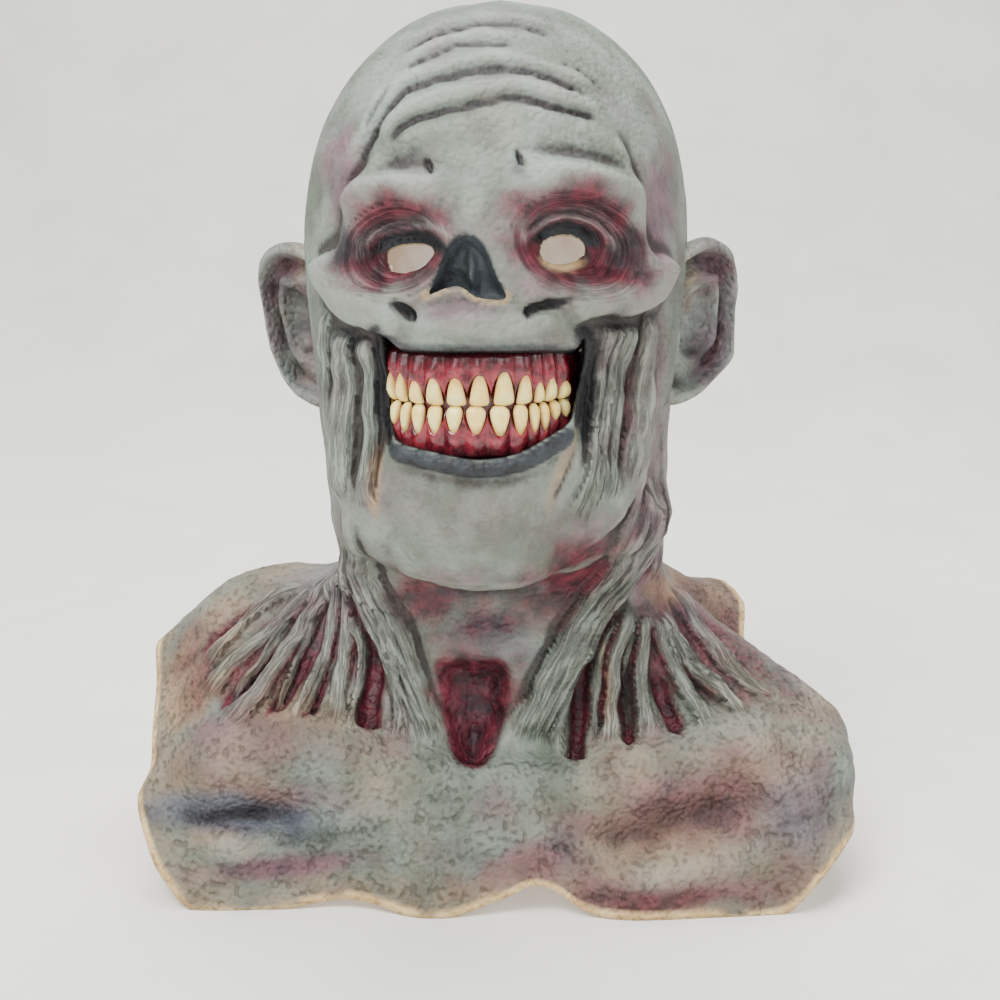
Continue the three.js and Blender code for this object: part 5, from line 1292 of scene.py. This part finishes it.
def painted_latex():
    """Airbrushed latex: grey green, with violet, ochre, raw red and sooty paints laid over each other by
    their fields, darkened with painted shade in the crevices, the grooves and the grain, dry brushed on
    the crests, and bare at the cut edge."""
    material, tree, shader = new_material("painted_latex")
    link = tree.links.new
    # name of the field, pale tone, deep tone, scale, speckle, most that it covers
    layers = [
        ("mauve", (134, 90, 104), (88, 60, 76), 60.0, 0.7, 0.95),
        ("ochre", (180, 150, 116), (138, 108, 82), 50.0, 0.6, 0.85),
        ("slate", (104, 110, 124), (62, 66, 80), 50.0, 0.6, 0.9),
        ("raw", (110, 37, 52), (54, 17, 28), 120.0, 0.6, 1.0),
        ("soot_and_shade", (44, 50, 57), (15, 17, 20), 90.0, 0.5, 1.0),
    ]
    place = put(tree, "ShaderNodeTexCoord").outputs["Object"]
    dust = sum_up(tree, "SUBTRACT", noise(tree, place, 700.0, 3.0, 0.7), 0.5)
    drift = sum_up(tree, "SUBTRACT", noise(tree, place, 75.0, 3.0, 0.6), 0.5)
    colour = mottled(tree, (135, 146, 135), (99, 108, 95), 26.0, 0.55)
    masks = {}
    for name, pale, deep, scale, speckle, most in layers:
        there = field(tree, name)
        masks[name] = there
        live = sum_up(tree, "MULTIPLY", there, sum_up(tree, "SUBTRACT", 1.0, there))
        loose = sum_up(tree, "MULTIPLY", live, sum_up(tree, "MULTIPLY_ADD", dust, 2.2,
                                                      sum_up(tree, "MULTIPLY", drift, 2.2)))
        mask = sum_up(tree, "MULTIPLY", sum_up(tree, "ADD", there, loose, held=True), most)
        colour = blend(tree, mask, colour, mottled(tree, pale, deep, scale, speckle))
    crests_and_crevice_shade = placed(tree, CRESTS_AND_CREVICE_SHADE, {"Cavity": field(tree, "cavity"), "Breakup": 0.35})
    grain = placed(tree, GRAIN, {"Scale": 390.0, "Pores": 0.35})
    fibres = placed(tree, FIBRES, {"Fineness": 1.0})
    strand = field(tree, "fibre")
    # Painted shade: the crevices by the cavity field, less where raw red is, then the grooves between
    # fibres and the gaps of the grain, all multiplied toward a dark mauve
    dark = sum_up(tree, "MULTIPLY", crests_and_crevice_shade["Crevice"],
                  sum_up(tree, "MULTIPLY_ADD", masks["raw"], -0.45, 0.90))
    fibre_groove_shade = sum_up(tree, "MULTIPLY", sum_up(tree, "MULTIPLY", fibres["Crease"], strand), 0.62)
    leathery = field(tree, "leather")
    grain_gap_shade = sum_up(tree, "MULTIPLY", sum_up(tree, "MULTIPLY", grain["Crease"], leathery), 0.42)
    shade = sum_up(tree, "MAXIMUM", dark, sum_up(tree, "MAXIMUM", fibre_groove_shade, grain_gap_shade))
    colour = blend(tree, sum_up(tree, "MULTIPLY", leathery, 0.30), colour, display(150, 146, 138),
                   "MULTIPLY")
    colour = blend(tree, shade, colour, display(96, 74, 80), "MULTIPLY")
    covered = sum_up(tree, "MAXIMUM", masks["soot_and_shade"], masks["raw"])
    pale = sum_up(tree, "MULTIPLY", crests_and_crevice_shade["Crest"], sum_up(
        tree, "SUBTRACT", 0.27, sum_up(tree, "MULTIPLY", covered, 0.25)))
    colour = blend(tree, pale, colour, display(178, 182, 170))
    colour = blend(tree, field(tree, "cream"), colour,
                   mottled(tree, (224, 194, 142), (196, 160, 108), 80.0, 0.4))
    link(colour, shader["Base Color"])
    rough = sum_up(tree, "MULTIPLY_ADD", masks["raw"], -0.12, 0.60)
    rough = sum_up(tree, "MULTIPLY_ADD", masks["soot_and_shade"], -0.08, rough)
    link(sum_up(tree, "MULTIPLY_ADD", drift, 0.14, rough), shader["Roughness"])
    shader["Specular IOR Level"].default_value = 0.35
    first = bumped(tree, sum_up(tree, "MULTIPLY", fibres["Height"], strand), 0.85, 0.0011)
    height = sum_up(tree, "MULTIPLY", grain["Height"], sum_up(tree, "MULTIPLY_ADD", leathery, 0.85, 0.15))
    link(bumped(tree, height, 1.0, 0.0015, first), shader["Normal"])
    return material


def bare_latex():
    """Natural latex of the inside: tan with darker streaks, and a faint glow of emission, painted light
    for the light that comes through the thin wall."""
    material, tree, shader = new_material("bare_latex")
    paint = mottled(tree, (246, 243, 238), (220, 200, 180), 22.0, 0.2)
    grain = placed(tree, GRAIN, {"Scale": 390.0, "Pores": 0.5})
    tree.links.new(paint, shader["Base Color"])
    # Painted light: the inside glows faintly with its own colour
    tree.links.new(paint, shader["Emission Color"])
    shader["Emission Strength"].default_value = 0.22
    shader["Roughness"].default_value = 0.55
    tree.links.new(bumped(tree, grain["Height"], 0.4, 0.0008), shader["Normal"])
    return material


def gum_material():
    """Wet gum paint: crimson, with painted shade: dark wine in the hollows between the roots, and near
    black along its top and bottom edges and at its far ends.
    """
    material, tree, shader = new_material("gum_gloss")
    flesh = mottled(tree, (154, 44, 58), (82, 14, 26), 190.0, 0.35)
    place = put(tree, "ShaderNodeTexCoord").outputs["Object"]
    # Painted shade: dark wine in the hollows between the roots
    depth = sum_up(tree, "MULTIPLY_ADD", sum_up(tree, "SUBTRACT", noise(tree, place, 220.0), 0.5), 0.5,
                   field(tree, "hollow"), held=True)
    colour = blend(tree, sum_up(tree, "MULTIPLY", depth, 0.8), flesh, display(58, 16, 24))
    # Painted shade: near black along the edges and at the far ends
    colour = blend(tree, sum_up(tree, "MULTIPLY", field(tree, "edge"), 0.85), colour, display(38, 12, 18))
    tree.links.new(colour, shader["Base Color"])
    tree.links.new(ramp(tree, noise(tree, place, 300.0), 0.3, 0.7, 0.14, 0.30), shader["Roughness"])
    shader["Coat Weight"].default_value = 0.35
    shader["Coat Roughness"].default_value = 0.12
    height = noise(tree, place, 420.0, 3.0, 0.6)
    tree.links.new(bumped(tree, height, 0.45, 0.0008), shader["Normal"])
    return material


def tooth_material():
    """Aged enamel: cream, brown at the root and along the flanks, with thin stains down the tooth."""
    material, tree, shader = new_material("tooth_enamel")
    enamel = mottled(tree, (255, 243, 160), (253, 216, 118), 120.0, 0.2)
    place = put(tree, "ShaderNodeTexCoord").outputs["Object"]
    stretched = put(tree, "ShaderNodeMapping", {"Vector": place, "Scale": (900, 900, 120)})
    streak = noise(tree, stretched.outputs["Vector"], 1.0, 3.0, 0.6)
    root = sum_up(tree, "MULTIPLY_ADD", sum_up(tree, "SUBTRACT", streak, 0.5), 0.5, field(tree, "root"))
    stain = ramp(tree, root, 0.48, 0.98, 0.0, 0.85)
    flank = sum_up(tree, "MULTIPLY", field(tree, "flank"), 0.40)
    colour = blend(tree, sum_up(tree, "MAXIMUM", stain, flank), enamel, display(176, 116, 62))
    aged = sum_up(tree, "MULTIPLY", field(tree, "shade"), 0.16)
    colour = blend(tree, aged, colour, display(214, 160, 96))
    tree.links.new(colour, shader["Base Color"])
    tree.links.new(ramp(tree, streak, 0.3, 0.7, 0.22, 0.38), shader["Roughness"])
    tree.links.new(bumped(tree, streak, 0.25, 0.0004), shader["Normal"])
    return material


def pale_cloth():
    """Plain pale cloth: nearly white where it lies, and a little greyer where it goes up at the back, as
    painted shade.
    """
    material, tree, shader = new_material("pale_cloth")
    place = put(tree, "ShaderNodeTexCoord").outputs["Object"]
    back = ramp(tree, put(tree, "ShaderNodeSeparateXYZ", {"Vector": place}).outputs["Y"], 0.45, 1.25)
    lying = mottled(tree, (244, 242, 237), (238, 236, 231), 9.0, 0.3)
    # Painted shade: the rising part is a little greyer
    rising_shaded = mottled(tree, (226, 224, 219), (218, 216, 211), 9.0, 0.3)
    tree.links.new(blend(tree, back, lying, rising_shaded), shader["Base Color"])
    shader["Roughness"].default_value = 0.9
    return material


MOTTLED, GRAIN, FIBRES, CRESTS_AND_CREVICE_SHADE = mottled_group(), grain_group(), fibre_group(), crests_and_crevice_shade_group()
MATERIALS = {"latex_skin": painted_latex(), "bare_latex": bare_latex(), "gums": gum_material(),
             "teeth": tooth_material(), "cloth": pale_cloth()}

# Pieces
points, quads, triangles, extra = cut_skin()
skin = make_piece("skin_outside", points, quads, triangles, "latex_skin", "latex_skin",
                  MATERIALS["latex_skin"])
rest = len(points) - STRAND.size
for key, values in {**PAINTS, "cavity": CAVITY}.items():
    add_field(skin, key, np.concatenate([values.reshape(-1), extra[key]]))
fibre = np.maximum(smoothstep(STRAND, 0.05, 0.45), 0.55 * SOCKET_FOLDS) * SEEN
leather_share = np.clip(0.22 + 0.78 * CHEST + 0.35 * (1 - SEEN) - fibre, 0, 1)
add_field(skin, "fibre", np.append(fibre.reshape(-1), np.zeros(rest)))
add_field(skin, "leather", np.append(leather_share.reshape(-1), np.full(rest, 0.2)))
socket_q = np.minimum(*(form_distance(DRAWN_X, DRAWN_W, *form[:5]) for form in FORMS[:2]))
in_socket = SOCKET_FOLDS > STRAND
fibre_u = np.where(in_socket, socket_q * 24, ACROSS)
fibre_v = np.where(in_socket, 30 * ANGLE, ALONG)
add_uv(skin, np.append(fibre_u.reshape(-1), np.zeros(rest)), np.append(fibre_v.reshape(-1), np.zeros(rest)))
make_inside()
for name, ear in EARS.items():
    make_ear(name, *ear)
make_gums()
for row, start, teeth, downward in (("upper", UPPER_START, UPPER_TEETH, True),
                                    ("lower", LOWER_START, LOWER_TEETH, False)):
    for index, (middle, room, length) in enumerate(zip(*tooth_rooms(start, teeth))):
        make_tooth(f"{row}_tooth_{index + 1:02d}", index, middle, room, length, downward)


# Stage, camera and light
def make_stage():
    """Floor under the mask, and a backdrop that turns up behind it on a wide quarter circle."""
    bend, foot, side = 1.4, 0.5, 3.0
    turn = np.linspace(0, np.pi / 2, 40)
    floor = np.stack([np.linspace(-2.6, foot, 20), np.zeros(20)], 1)
    rise = np.stack([foot + bend * np.sin(turn), bend - bend * np.cos(turn)], 1)
    rise = np.vstack([rise, [foot + bend, 2.6]])
    across = np.linspace(-side, side, 24)
    for name, line in (("floor_sheet", floor), ("backdrop_sheet", rise)):
        x, y = np.meshgrid(across, line[:, 0])
        z = np.broadcast_to(line[:, 1:], x.shape)
        quads = grid_quads(len(line), len(across), wrap=False)[:, ::-1]
        mesh_object(name, np.stack([x, y, z], -1), [quads], MATERIALS["cloth"])


def aimed(thing, place, target):
    """Puts a camera or lamp at a place and turns it to a target."""
    thing.location = place
    thing.rotation_euler = (Vector(target) - Vector(place)).to_track_quat("-Z", "Y").to_euler()
    bpy.context.scene.collection.objects.link(thing)
    return thing


def area_light(name, place, target, size, power):
    """Square soft light."""
    lamp = bpy.data.lights.new(name, "AREA")
    lamp.size = size
    lamp.energy = power
    return aimed(bpy.data.objects.new(name, lamp), place, target)


# The camera looks at the head's axis at EYE_AIM, from EYE_AWAY along EYE_WAY, all in mm
EYE_AIM, EYE_AWAY, EYE_WAY = np.array([0, 0, 188]), 900, np.array([0.0337, -0.9653, 0.2588])
LENS = 62.3
# Lamps: place and target in metres, width in metres, power in watts
LAMPS = {
    "key": ((-0.6, -1.0, 2.0), (0, 0, 0.2), 1.1, 66),
    "fill": ((1.3, -0.9, 0.9), (0, 0, 0.2), 1.2, 9),
    "top": ((0.1, 0.5, 2.0), (0, 0, 0.2), 1.4, 50),
    "front": ((-0.25, -1.7, 0.75), (0, 0, 0.25), 0.9, 9),
}
WORLD_COLOUR, WORLD_STRENGTH = (0.95, 0.97, 1.0, 1), 0.46

make_stage()
camera_data = bpy.data.cameras.new("camera")
camera_data.lens = LENS
camera = aimed(bpy.data.objects.new("camera", camera_data),
               ((EYE_AIM + EYE_AWAY * EYE_WAY + SHIFT) / 1000).tolist(),
               ((EYE_AIM + SHIFT) / 1000).tolist())
bpy.context.scene.camera = camera
for name, lamp in LAMPS.items():
    area_light(name, *lamp)
world = bpy.data.worlds.new("studio")
world.use_nodes = True
background = world.node_tree.nodes["Background"].inputs
background["Color"].default_value = WORLD_COLOUR
background["Strength"].default_value = WORLD_STRENGTH
bpy.context.scene.world = world
